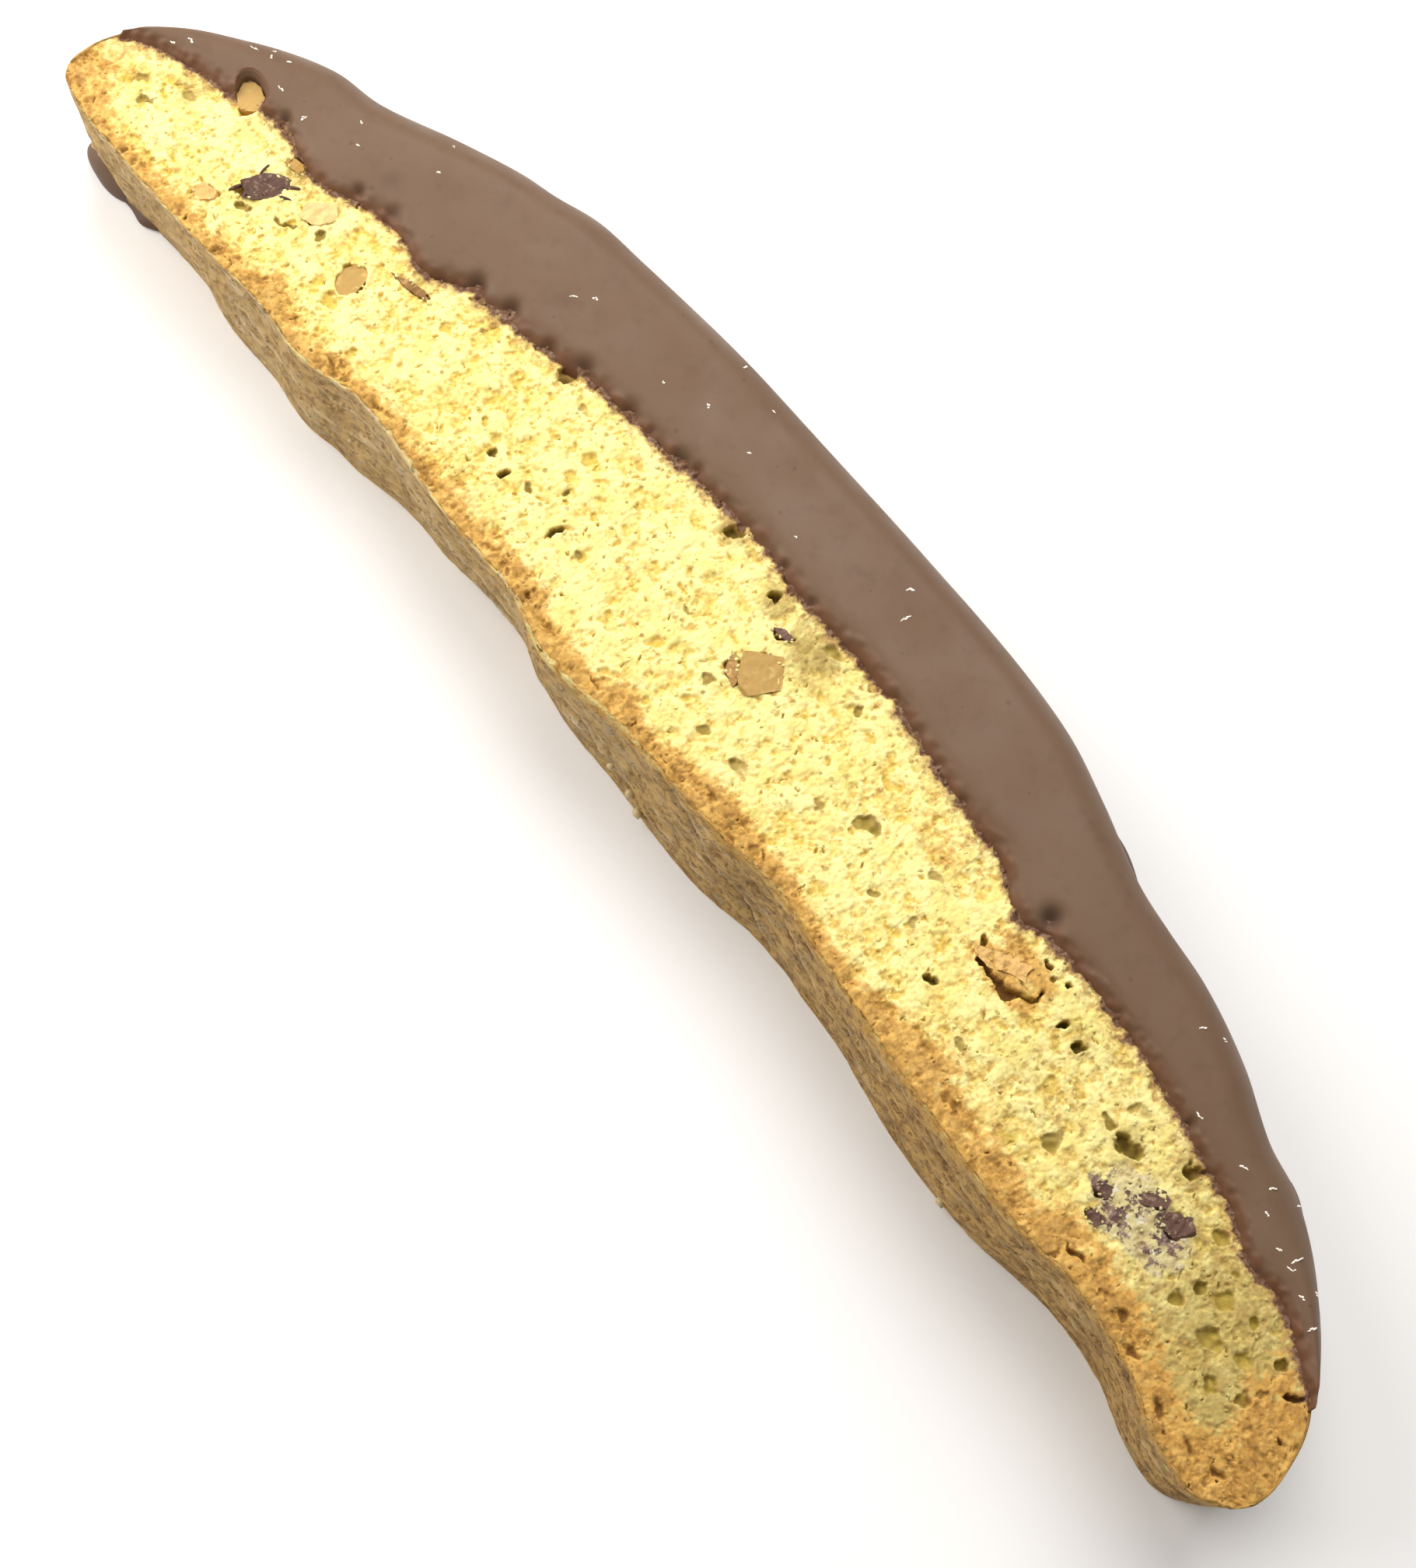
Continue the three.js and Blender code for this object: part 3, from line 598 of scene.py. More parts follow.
# The toasted crevice that runs along under the toasted almond: x, y and half width.
CREVICE = [
    (126.6, 12.2, 0.3), (127.6, 11.1, 0.45), (129.3, 10.6, 0.35), (130.8, 10.4, 0.55), (132.2, 10.9, 0.45),
    (133.2, 11.9, 0.3), (133.9, 13.4, 0.25),
]
# Deep brown cracks close to the base crust: x, y, length, width, depth.
BASE_CRACKS = [
    (36, 2.2, 2.6, 0.7, 0.7), (42, 1.4, 3.4, 1.1, 0.9), (72.6, 1.1, 1.3, 1.7, 1.2), (76.5, 0.6, 4, 0.8, 0.9),
    (84, 0.6, 5, 0.6, 0.8), (99, 1.6, 3, 0.8, 0.8), (125, 0.9, 5, 1.2, 0.7), (136, -0.2, 4, 1.1, 0.8),
    (153.3, -0.7, 3.2, 0.8, 1.4), (160.2, -1.1, 2, 1.3, 1.1), (163.2, -2.6, 2.4, 1.3, 1.2),
    (168.2, -4.4, 3.2, 1.1, 1.1), (172.6, -4.6, 3.4, 1.2, 0.9), (176, -4.2, 2.4, 1.3, 0.9),
]
# What was stirred into the dough: name, x, y, length, width, depth, turn, height over the
# crumb, tone from pale to brown, how ragged, corners, look.
INCLUSIONS = [
    ("almond_in_window", 14.1, 13.4, 3.7, 3.3, 2.6, 140, -0.25, 0.8, 0.12, 6, "almond"),
    ("almond_tan_bit", 19.7, 3.3, 2.9, 1.8, 1.6, 35, 0.0, 0.05, 0.25, 5, "almond_skin"),
    ("chocolate_chunk", 22.8, 8.2, 6.3, 2.9, 3.0, 58, 0.1, 0.2, 0.3, 6, "dark_chocolate"),
    ("almond_pale_bit", 23.0, 12.3, 2.8, 1.3, 1.4, 15, 0.0, 1.0, 0.2, 5, "almond"),
    ("almond_peach_piece", 28.5, 10.9, 4.1, 2.6, 2.0, 60, 0.15, 0.1, 0.3, 5, "almond"),
    ("almond_oval_slice", 36.2, 8.6, 4.8, 2.8, 1.7, 103, -0.35, 0.85, 0.05, 8, "almond"),
    ("almond_sliver", 40.9, 13.0, 4.4, 0.9, 1.4, 12, -0.05, 0.9, 0.35, 5, "almond_skin"),
    ("almond_big_piece", 93.0, 13.4, 4.2, 4.4, 3.2, 48, 0.2, 0.85, 0.06, 4, "almond"),
    ("almond_brown_side", 91.0, 11.6, 3.2, 1.4, 1.8, 138, 0.0, 0.7, 0.1, 5, "almond_skin"),
    ("red_brown_chip", 91.5, 17.6, 2.3, 1.0, 1.1, 10, 0.0, 0.9, 0.3, 5, "dark_chocolate"),
    ("toasted_almond", 129.8, 12.8, 5.0, 2.0, 2.2, 22, 0.0, 0.0, 0.5, 5, "almond_skin"),
    ("chip_crumb_near_base", 152.0, 2.6, 2.0, 1.5, 1.4, 0, 0.0, 0.5, 0.4, 5, "dark_chocolate"),
    ("chip_crumb_left", 151.0, 5.2, 2.0, 1.5, 1.5, 40, 0.0, 0.4, 0.4, 5, "dark_chocolate"),
    ("chip_crumb_middle", 154.3, 8.0, 3.3, 1.9, 1.7, 25, 0.0, 0.5, 0.4, 5, "dark_chocolate"),
    ("chip_crumb_right", 157.6, 8.0, 3.2, 2.4, 1.9, 50, 0.0, 0.4, 0.4, 5, "dark_chocolate"),
]
# Thin splinters that broke off the dark chunk: x, y, length, width, turn.
SPLINTERS = [
    (21.2, 6.2, 1.8, 0.4, 75), (21.4, 9.6, 1.5, 0.3, 100), (24.7, 10.4, 1.9, 0.45, 45),
    (25.2, 9.2, 1.5, 0.3, 30),
]
# Dull, greenish patches, most over bubbles, where the tint darkening with depth is painted shade: x, y,
# spread, strength.
DULL_PATCHES = [
    (9.5, 9.3, 2.2, 0.6), (24, 11.5, 2.5, 0.5), (80.4, 20.9, 2.0, 0.8), (88.5, 19.4, 2.6, 0.7),
    (95, 19.0, 4.2, 0.8), (57.4, 18.9, 1.5, 0.7), (139.7, 12.6, 2.2, 0.6), (149.2, 9.7, 3, 0.6),
    (155.1, 12.9, 3.0, 0.8), (166, 5.5, 6.5, 0.45), (172.5, 3.0, 4.5, 0.4), (144.4, 4.6, 2.2, 0.4),
    (98.7, 5.8, 1.4, 0.6), (40.5, 15.0, 2.2, 0.6), (110.9, 11.4, 1.6, 0.5), (163, 10, 2.5, 0.5),
]
SMEAR = (154.9, 5.8, 6.4, 3.6)  # where a chip was ground in: x, y, half length, half width
DEEP_BUBBLE = 1.35  # named bubbles less deep than this are drawn shallower
SHALLOW_SHARE = 0.6
OPEN_END = 158  # from here to the blunt end they aren't
LUMP_BED, CREVICE_DEPTH = 1.2, 1.5
CREVICE_STEP = 0.2  # share of the way from one of its points to the next
CRUMB_SECTIONS = {"left": (0, 59), "middle": (59, 120), "right": (120, 180)}
CRUMB_ROWS, CRUMB_COLUMNS = 600, 144  # of each section
CRUMB_SINKS = 1.9  # depth that no bubble passes
SECTION_LAP = 0.24  # how far neighbouring sections pass through each other


def oval_distance(x, y, cx, cy, length, width, turn):
    """1 on an oval's outline, less inside it."""
    angle = math.radians(turn)
    along = (x - cx) * math.cos(angle) + (y - cy) * math.sin(angle)
    across = (y - cy) * math.cos(angle) - (x - cx) * math.sin(angle)
    return np.hypot(along * 2 / length, across * 2 / width)


def crumb_depth(x, y):
    """How far the upper crumb lies below the knife's plane."""
    depth = open_crumb(x, y)
    wx, wy = crumb_warp(x, y)
    for cx, cy, length, width, turn, deep in NAMED_BUBBLES:
        distance = oval_distance(wx, wy, cx, cy, length, width, turn)
        sunk = deep * (SHALLOW_SHARE if deep < DEEP_BUBBLE and cx < OPEN_END else 1.0)
        sunk = sunk * (1 + 0.3 * soft_noise(x / 0.7, y / 0.7, 56))
        depth = np.maximum(depth, sunk * (1 - ease(0.65, 1.1, distance)))
    steps = np.arange(0, len(CREVICE) - 1, CREVICE_STEP)
    crevice = [np.interp(steps, range(len(CREVICE)), column) for column in zip(*CREVICE)]
    for cx, cy, radius in zip(*crevice):
        distance = np.hypot(wx - cx, wy - cy) / radius
        depth = np.maximum(depth, CREVICE_DEPTH * (1 - ease(0.6, 1.3, distance)))
    for cx, cy, length, width, deep in BASE_CRACKS:
        distance = oval_distance(wx, wy, cx, cy, length, width, 0)
        depth = np.maximum(depth, 0.85 * deep * (1 - ease(0.2, 1.2, distance)))
    for _, cx, cy, length, width, _, turn, _, _, ragged, *_ in INCLUSIONS:
        distance = oval_distance(wx, wy, cx, cy, length, width, turn) + 0.3 * ragged
        depth = np.maximum(depth, LUMP_BED * (1 - ease(0.72, 1.0, distance)))
    from_base = y - base_crust(x)
    depth = depth + 0.12 * (1 - ease(0.3, 2.2, from_base)) * soft_noise(x / 0.8, y / 0.8, 31)
    return np.clip(depth, 0.0, CRUMB_SINKS)


def toast(x, y):
    """How golden the oven left the crumb: along the base crust and at both ends."""
    strength = 1.05 + 1.25 * ease(66, 74, x) * (1 - ease(104, 112, x)) + 0.75 * ease(118, 128, x)
    strength = strength + 0.35 * ease(20, 28, x) * (1 - ease(45, 52, x))
    reach = 2.6 + 0.9 * ease(115, 135, x) + 0.9 * soft_noise(x / 5, 0 * x, 32)
    along_base = strength * np.exp(-(((y - base_crust(x)) / reach) ** 2))
    left = 0.9 * np.exp(-((np.hypot(x + 0.4, (y - 3) * 0.7) / 5) ** 2))
    right = 1.1 * ease(170, 176.5, x + 1.2 * soft_noise(y / 2.5, x / 2.5, 55))
    blotch = 0.85 + 0.45 * soft_noise(x / 1.6, y / 1.6, 33)
    blotch = blotch + 0.25 * soft_noise(x / 0.6, y / 0.6, 34)
    near_almond = 1.1 * np.exp(-(((x - 130.3) / 4.2) ** 4) - ((y - 12.6) / 2.8) ** 4)
    near_coat = 0.45 * np.exp(-(((x - 117) / 5) ** 2) - ((y - 16) / 2.5) ** 2)
    edge = 0.95 * (1 - ease(0.8, 2.7, y - base_crust(x) + 0.7 * soft_noise(x / 1.4, y / 1.4, 48)))
    golden = (along_base + left + right + near_almond + near_coat) * blotch
    return np.clip(np.maximum(golden, edge), 0, 1)


def paint_crumb(x, y, z):
    """Marks for the crumb: toasted, chocolate-soaked, dull, and how deep it lies, the last two partly for
    painted shade.
    """
    inwards = chocolate_line(x) - y
    ragged = inwards + 0.35 * soft_noise(x / 0.9, y / 0.9, 35)
    ragged = ragged + 0.2 * soft_noise(x / 0.4, y / 0.4, 36)
    soaked = np.exp(-np.clip(ragged - 0.45, 0, 9) / 0.6)
    dull = 0.30 * ease(115, 140, x) + 0.40 * ease(152, 166, x)
    for cx, cy, spread, amount in DULL_PATCHES:
        dull = np.maximum(dull, amount * np.exp(-(((x - cx) ** 2 + (y - cy) ** 2) / spread**2)))
    wx, wy = crumb_warp(x, y)
    # Painted shade: bubble floors take the dull tint, the more the deeper they are.
    for cx, cy, length, width, turn, deep in NAMED_BUBBLES:
        inside = 1 - ease(0.9, 1.05, oval_distance(wx, wy, cx, cy, length, width, turn))
        dull = np.maximum(dull, inside * min(0.95, 0.25 + 0.6 * deep))
    deep = np.clip((THICKNESS - z) / 2.0, 0, 1)
    return np.stack([toast(x, y), soaked, dull, deep], axis=-1)


crumb_faces = []
for section, (starts, stops) in CRUMB_SECTIONS.items():
    first = max(starts - SECTION_LAP, LEFT_END + 0.12)
    last = min(stops + SECTION_LAP, RIGHT_END - 0.12)
    crumb_x = np.linspace(first, last, CRUMB_ROWS)
    lap = np.maximum((starts - crumb_x) * (starts > 0), (crumb_x - stops) * (stops < 180))
    lap = 0.5 * np.maximum(lap + 0.08, 0)
    ragged = 0.12 * soft_noise(crumb_x / 0.8, 0 * crumb_x, 39)
    ragged = ragged + 0.07 * soft_noise(crumb_x / 0.35, 0 * crumb_x, 40)
    crumb_from = base_crust(crumb_x) + end_corner(crumb_x) + 0.16 + ragged
    crumb_dome = dome(crumb_x) - coat_cover(crumb_x) * dome_skew(crumb_x) - end_corner(crumb_x)
    crumb_to = np.minimum(chocolate_line(crumb_x) + TRAY_UNDER_COAT - 0.1, crumb_dome - 0.55)
    crumb_to = np.maximum(crumb_to, crumb_from + 0.35)
    crumb_bottom = 0 * crumb_x + THICKNESS - TRAY_DEPTH - 0.05
    crumb_lines = [(np.minimum(crumb_from + 0.9, crumb_to - 0.1), crumb_bottom)]
    for step in range(CRUMB_COLUMNS + 1):
        y = lerp(crumb_from, crumb_to, step / CRUMB_COLUMNS)
        dips = 0.4 * (1 - ease(0.0, 0.3, y - crumb_from))
        crumb_lines.append((y, THICKNESS - np.maximum(crumb_depth(crumb_x, y), dips) - lap))
    crumb_lines.append((crumb_to, crumb_bottom))
    crumb = lengthwise_shell("crumb_face_" + section, crumb_x, crumb_lines, paint_crumb)
    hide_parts("biscuit")
    crumb_faces.append(crumb)

# The colours named for shade are painted shade and warm bounce light in the crumb's hollows, laid on by how
# deep the crumb lies.
PALE_CRUMB = (0.89, 0.80, 0.35, 1)
YELLOW_CRUMB = (0.84, 0.71, 0.25, 1)
PEACH_SHADE = (0.84, 0.64, 0.21, 1)
GOLDEN_HOLLOW_SHADE = (0.72, 0.51, 0.10, 1)
DULL_CRUMB = (0.43, 0.318, 0.10, 1)
DARK_HOLLOW_SHADE = (0.22, 0.155, 0.03, 1)
BROWN_CREVICE_SHADE = (0.25, 0.11, 0.022, 1)
OLIVE_PATCH = (0.58, 0.46, 0.09, 1)
HONEY_HOLLOW_SHADE = (0.36, 0.265, 0.05, 1)
ORANGE_PATCH = (0.76, 0.50, 0.14, 1)
TOASTED_PALE = (0.72, 0.43, 0.115, 1)
PORE_SHADE = (0.30, 0.20, 0.05, 1)
CHOCOLATE_SOAKED = (0.14, 0.065, 0.035, 1)
CHOCOLATE_STREAK = (0.24, 0.15, 0.10, 1)
CHOCOLATE_STAIN = (0.46, 0.28, 0.10, 1)
SMEARED_GREY = (0.52, 0.44, 0.27, 1)
SMEARED_DARK = (0.13, 0.073, 0.062, 1)
SMEARED_VIOLET = (0.26, 0.18, 0.145, 1)
SMEARED_WHITE = (0.70, 0.64, 0.48, 1)


def dress_crumb(piece):
    """The crumb's own finish, with painted shade in its hollows, on the cut face and the grains on it."""
    tree, shader = new_material("open_crumb", piece)
    toasted, soaked, dull, deep = baked_marks(tree)
    where = in_millimetres(tree)
    fine = grain(tree, where, 1.1, 9, 0.74)
    broken = uneven(tree, deep, fine, 0.7)
    cloudy = mask(tree, grain(tree, where, 3.0, 8, 0.7), 0.45, 0.6)
    colour = tint(tree, cloudy, PALE_CRUMB, YELLOW_CRUMB)
    # Painted shade and warm bounce light: peach, then golden, the deeper the crumb lies.
    colour = tint(tree, mask(tree, broken, 0.13, 0.24), colour, PEACH_SHADE)
    colour = tint(tree, mask(tree, broken, 0.20, 0.33), colour, GOLDEN_HOLLOW_SHADE)
    lacy = mask(tree, grain(tree, where, 0.6, 6, 0.7), 0.36, 0.6)
    patches = maths(tree, "MULTIPLY", pinhole_mask(tree, where, 1.9, 0.42, 0.30), lacy)
    colour = tint(tree, maths(tree, "MULTIPLY", patches, 0.65), colour, OLIVE_PATCH)
    freckles = maths(tree, "MULTIPLY", pinhole_mask(tree, where, 0.9, 0.45, 0.26), lacy)
    colour = tint(tree, maths(tree, "MULTIPLY", freckles, 0.55), colour, ORANGE_PATCH)
    # Painted shade in the dull patches and bubble floors, darker the deeper they lie.
    dull_and_shade = tint(tree, mask(tree, deep, 0.2, 0.42), DULL_CRUMB, HONEY_HOLLOW_SHADE)
    dull_and_shade = tint(tree, mask(tree, deep, 0.45, 0.85), dull_and_shade, DARK_HOLLOW_SHADE)
    colour = tint(tree, mask(tree, uneven(tree, dull, fine, 1.5), 0.1, 0.9), colour, dull_and_shade)
    browned = tint(tree, mask(tree, fine, 0.40, 0.58), TOASTED_PALE, TOASTED)
    # Painted shade in the toasted crumb's crevices.
    browned = tint(tree, mask(tree, broken, 0.16, 0.42), browned, BROWN_CREVICE_SHADE)
    baked = uneven(tree, toasted, grain(tree, where, 0.8, 7, 0.72), 2.3)
    colour = tint(tree, maths(tree, "MULTIPLY", mask(tree, baked, 0.1, 0.8), 0.9), colour, browned)
    scorched = maths(tree, "MULTIPLY", mask(tree, baked, 0.75, 1.35), 0.55)
    colour = tint(tree, scorched, colour, WELL_BAKED)
    # Painted shade in the deepest holes, browner where the crumb is toasted.
    deepest = tint(tree, mask(tree, toasted, 0.3, 0.7), DARK_HOLLOW_SHADE, SCORCHED_AND_SHADE)
    colour = tint(tree, mask(tree, broken, 0.6, 0.95), colour, deepest)
    damp = uneven(tree, soaked, fine, 2.5)
    stain = maths(tree, "MULTIPLY", mask(tree, damp, 0.1, 0.5), 0.8)
    colour = tint(tree, stain, colour, CHOCOLATE_STAIN)
    streaks = mask(tree, grain(tree, where, 0.5, 4, 0.6), 0.45, 0.6)
    soaked_crumb = tint(tree, streaks, CHOCOLATE_SOAKED, CHOCOLATE_STREAK)
    colour = tint(tree, mask(tree, damp, 0.45, 0.8), colour, soaked_crumb)
    smear_x, smear_y, half_length, half_width = SMEAR
    middle = (smear_x - SLICE_CORNER[0], smear_y - SLICE_CORNER[1], THICKNESS)
    off = add(tree, "VectorMath", {0: where, 1: middle}, operation="SUBTRACT").outputs[0]
    oval = (1 / half_length, 1 / half_width, 0)
    off = add(tree, "VectorMath", {0: off, 1: oval}, operation="MULTIPLY").outputs[0]
    off = add(tree, "VectorMath", {0: off}, operation="LENGTH").outputs["Value"]
    ground_in = mask(tree, uneven(tree, off, grain(tree, where, 2.0, 5, 0.6), 1.2), 1.0, 0.8)
    colour = tint(tree, maths(tree, "MULTIPLY", ground_in, 0.6), colour, SMEARED_GREY)
    flakes = mask(tree, grain(tree, where, 1.5, 6, 0.7), 0.52, 0.57)
    flakes = maths(tree, "MULTIPLY", flakes, ground_in)
    flake_colour = tint(tree, mask(tree, fine, 0.44, 0.56), SMEARED_DARK, SMEARED_VIOLET)
    colour = tint(tree, flakes, colour, flake_colour)
    dusty = mask(tree, grain(tree, in_millimetres(tree, (0.9, 1.1, 1)), 1.3, 5, 0.65), 0.58, 0.61)
    colour = tint(tree, maths(tree, "MULTIPLY", dusty, ground_in), colour, SMEARED_WHITE)
    # Pinholes and thin slits painted dark as the shade in them.
    shaded_pinholes = maths(tree, "MULTIPLY", pinhole_mask(tree, where, 0.9, 0.3, 0.24), 0.5)
    shaded_slits = maths(tree, "MULTIPLY", mask(tree, grain(tree, where, 0.6, 5, 0.6), 0.70, 0.73), 0.8)
    colour = tint(tree, maths(tree, "MAXIMUM", shaded_pinholes, shaded_slits), colour, PORE_SHADE)
    feed(tree, shader.inputs["Base Color"], colour)
    shader.inputs["Roughness"].default_value = 0.9
    shader.inputs["Specular IOR Level"].default_value = 0.2
    shader.inputs["Subsurface Weight"].default_value = 0.4
    shader.inputs["Subsurface Radius"].default_value = (1.0, 0.75, 0.3)
    shader.inputs["Subsurface Scale"].default_value = 0.0006
    height = maths(tree, "ADD", fine, maths(tree, "MULTIPLY", shaded_slits, 0.2))
    height = maths(tree, "MULTIPLY", height, -1.0)
    bump = add(tree, "Bump", {"Strength": 0.35, "Distance": 0.0004, "Height": height})
    feed(tree, shader.inputs["Normal"], bump.outputs[0])


for crumb in crumb_faces:
    dress_crumb(crumb)

# ---- the milk chocolate ---------------------------------------------------------------
# One dip of milk chocolate: thick over the dome and down its side, rolled over the upper
# edge, thinning to a seeping edge on the crumb, and squeezed to a film under the slice.

COAT_TOP = 1.05
COAT_ENDS = (0.6, 177.4)
EDGE_ROUND = 4.0
EDGE_SEEPS = 1.2  # how far below the crumb its edge starts, before the line
FOOT_HEIGHT, FOOT_REACH = 1.6, 0.25
FOOT_POOLS = [(64, 14, 0.5), (100, 10, 0.4), (129, 6.5, 1.4), (164.5, 4.5, 1.3), (176, 4, 1.3)]
# Dimples where the chocolate sank into a bubble: x, y, radius, depth.
COAT_DIMPLES = [
    (44.8, 18.0, 0.9, 1.2), (49.0, 18.9, 0.85, 1.2), (54.4, 19.1, 0.8, 0.9), (58.4, 20.5, 1.0, 1.0),
    (64.6, 21.1, 0.8, 0.9), (71.7, 21.5, 0.9, 0.9), (73.5, 22.1, 0.6, 0.9), (129.1, 18.5, 1.0, 1.2),
    (130.2, 17.0, 0.6, 0.8), (31.2, 18.2, 1.3, 0.28), (52, 23.2, 1.3, 0.2), (18.5, 14.6, 0.6, 0.8),
    (29.5, 15.3, 0.6, 0.8), (33.6, 16.4, 0.9, 0.6), (86.5, 22.2, 0.45, 0.8), (103.5, 21.8, 0.4, 0.7),
    (91.0, 21.9, 0.4, 0.6), (67.5, 21.4, 0.4, 0.7), (115.2, 20.0, 0.4, 0.6), (151.5, 15.3, 0.5, 0.7),
]
WINDOW = (14.1, 13.5, 1.95)  # the round gap over an almond: x, y, radius
BEAD_CENTRE, BEAD_RADII = (4.4, 1.2, 0.6), (4.1, 1.8, 2.9)  # the bead round the narrow tip
BEAD_FOOT = 0.02  # where it is cut flat
COAT_ROWS = 560  # points along the slice
TOP_STEPS, ROLL_STEPS, SIDE_STEPS, FILM_STEPS = 46, 16, 20, 15  # points round it


def foot_pool(x, z):
    reach = FOOT_REACH + 0 * x
    for at, spread, out in FOOT_POOLS:
        reach = reach + out * np.exp(-(((x - at) / spread) ** 2))
    return reach * dome_skew(x) * np.exp(-((z / FOOT_HEIGHT) ** 2))


def coat_height(x, y, inwards):
    """The chocolate's upper surface, for points that far from its edge on the crumb."""
    body = COAT_TOP * (1 - np.exp(-(inwards + 0.1) / 0.85))
    swell = 0.10 * soft_noise(x / 13, y / 9, 40) + 0.045 * soft_noise(x / 4.5, y / 4.5, 41)
    seep = 0.26 * soft_noise(x / 1.2, y / 1.2, 42) + 0.2 * soft_noise(x / 0.5, y / 0.5, 43)
    height = body + (swell - 0.08) * ease(0.3, 3, inwards) + seep * (1 - ease(0.1, 1.2, inwards))
    for cx, cy, radius, deep in COAT_DIMPLES:
        height = height - deep * np.exp(-(((x - cx) ** 2 + (y - cy) ** 2) / radius**2))
    return THICKNESS + height


coat_x = stations(*COAT_ENDS, COAT_ROWS, 0.35)
coat_outer = dome(coat_x)
coat_skew = dome_skew(coat_x)
coat_line = np.minimum(chocolate_line(coat_x), coat_outer - 0.9)
coat_roll = np.minimum(EDGE_ROUND * coat_skew, (coat_outer - coat_line) * 0.6)
crust_side = coat_outer - coat_cover(coat_x) * coat_skew
film_edge = lerp(base_crust(coat_x) + 0.8, coat_line - 0.2, ease(9, 26, coat_x))
film_edge = film_edge + 0.5 * soft_noise(coat_x / 3, 0 * coat_x, 44)

coat_lines = []
for step in range(TOP_STEPS):
    across = (step / (TOP_STEPS - 1)) ** 1.35
    y = lerp(coat_line - EDGE_SEEPS, coat_outer - coat_roll, across)
    coat_lines.append((y, coat_height(coat_x, y, y - coat_line)))
shoulder = coat_lines[-1][1]
for step in range(1, ROLL_STEPS + 1):
    angle = step / ROLL_STEPS * math.pi / 2
    z = shoulder - EDGE_ROUND * (1 - math.cos(angle))
    y = coat_outer - coat_roll * (1 - math.sin(angle)) + dome_lean(coat_x, z)
    coat_lines.append((y, z))
side_top = coat_lines[-1][1]
for step in range(1, SIDE_STEPS + 1):
    z = lerp(side_top, 0 * coat_x + 0.12, step / SIDE_STEPS)
    runs = 0.14 * soft_noise(coat_x / 6, z / 7, 45) * ease(0, 4, side_top - z)
    coat_lines.append((coat_outer + dome_lean(coat_x, z) + foot_pool(coat_x, z) + runs, z))
foot = coat_lines[-1][0] - 0.3
for step in range(FILM_STEPS):
    coat_lines.append((lerp(foot, film_edge, step / (FILM_STEPS - 1)), 0 * coat_x))
coat_lines.append((film_edge - 0.2, 0 * coat_x + COAT_BELOW / 2))
inner_foot = crust_side + dome_lean(coat_x, COAT_BELOW) + 0.1 * coat_skew
for step in range(8):
    coat_lines.append((lerp(film_edge, inner_foot, step / 7), 0 * coat_x + COAT_BELOW))
for step in range(1, 7):
    z = lerp(COAT_BELOW, THICKNESS - 2.0, step / 6)
    coat_lines.append((crust_side + dome_lean(coat_x, z) + 0.1 * coat_skew, 0 * coat_x + z))
coat_lines.append((np.maximum(crust_side - 0.8, coat_line), 0 * coat_x + THICKNESS - 0.55))
coat_lines.append((coat_line - EDGE_SEEPS * 0.7, 0 * coat_x + THICKNESS - 1.6))


def paint_coat(x, y, z):
    """Marks for the chocolate: sunk into a bubble, for painted shade in the dimples, and thin next to the
    crumb.
    """
    sunk = np.zeros_like(x)
    for cx, cy, radius, deep in COAT_DIMPLES:
        nearness = np.exp(-(((x - cx) ** 2 + (y - cy) ** 2) / radius**2))
        sunk = np.maximum(sunk, min(1, deep) * nearness)
    ragged = 0.4 * soft_noise(x / 1.1, y / 1.1, 46) + 0.25 * soft_noise(x / 0.5, y / 0.5, 47)
    thin = 1 - ease(-0.2, 0.9, y - chocolate_line(x) + ragged)
    upper = ease(12, 14, z)
    return np.stack([sunk * upper, thin * upper, 0 * x, 1 + 0 * x], axis=-1)


coat = lengthwise_shell("chocolate_coat", coat_x, coat_lines, paint_coat)
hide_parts("chocolate_coating")


def carve(piece, name, bm, how):
    """Joins another closed shape to a piece, or cuts it away."""
    mesh = bpy.data.meshes.new(name)
    bm.to_mesh(mesh)
    bm.free()
    tool = bpy.data.objects.new(name, mesh)
    bpy.context.scene.collection.objects.link(tool)
    modifier = piece.modifiers.new(name, "BOOLEAN")
    modifier.operation = how
    modifier.object = tool
    modifier.solver = "MANIFOLD"
    graph = bpy.context.evaluated_depsgraph_get()
    shaped = bpy.data.meshes.new_from_object(piece.evaluated_get(graph))
    shaped.materials.clear()
    piece.modifiers.clear()
    piece.data = shaped
    bpy.data.objects.remove(tool)


def on_slice(x, y, z):
    """A point of the slice in the frame, in metres."""
    return (Vector((x, y, z)) - Vector(SLICE_CORNER)) * MM


bead = bmesh.new()
bmesh.ops.create_icosphere(bead, subdivisions=5, radius=MM)
bmesh.ops.scale(bead, verts=bead.verts, vec=BEAD_RADII)
for vert in bead.verts:
    vert.co *= 1 + 0.05 * math.sin(vert.co.x * 900) * math.cos(vert.co.z * 1300 + 1)
bmesh.ops.translate(bead, verts=bead.verts, vec=on_slice(*BEAD_CENTRE))
bmesh.ops.bisect_plane(
    bead, geom=[*bead.verts, *bead.edges, *bead.faces], plane_co=(0, 0, BEAD_FOOT * MM),
    plane_no=(0, 0, -1), clear_outer=True,
)
bmesh.ops.holes_fill(bead, edges=bead.edges, sides=0)
bmesh.ops.recalc_face_normals(bead, faces=bead.faces)
carve(coat, "tip_bead", bead, "UNION")

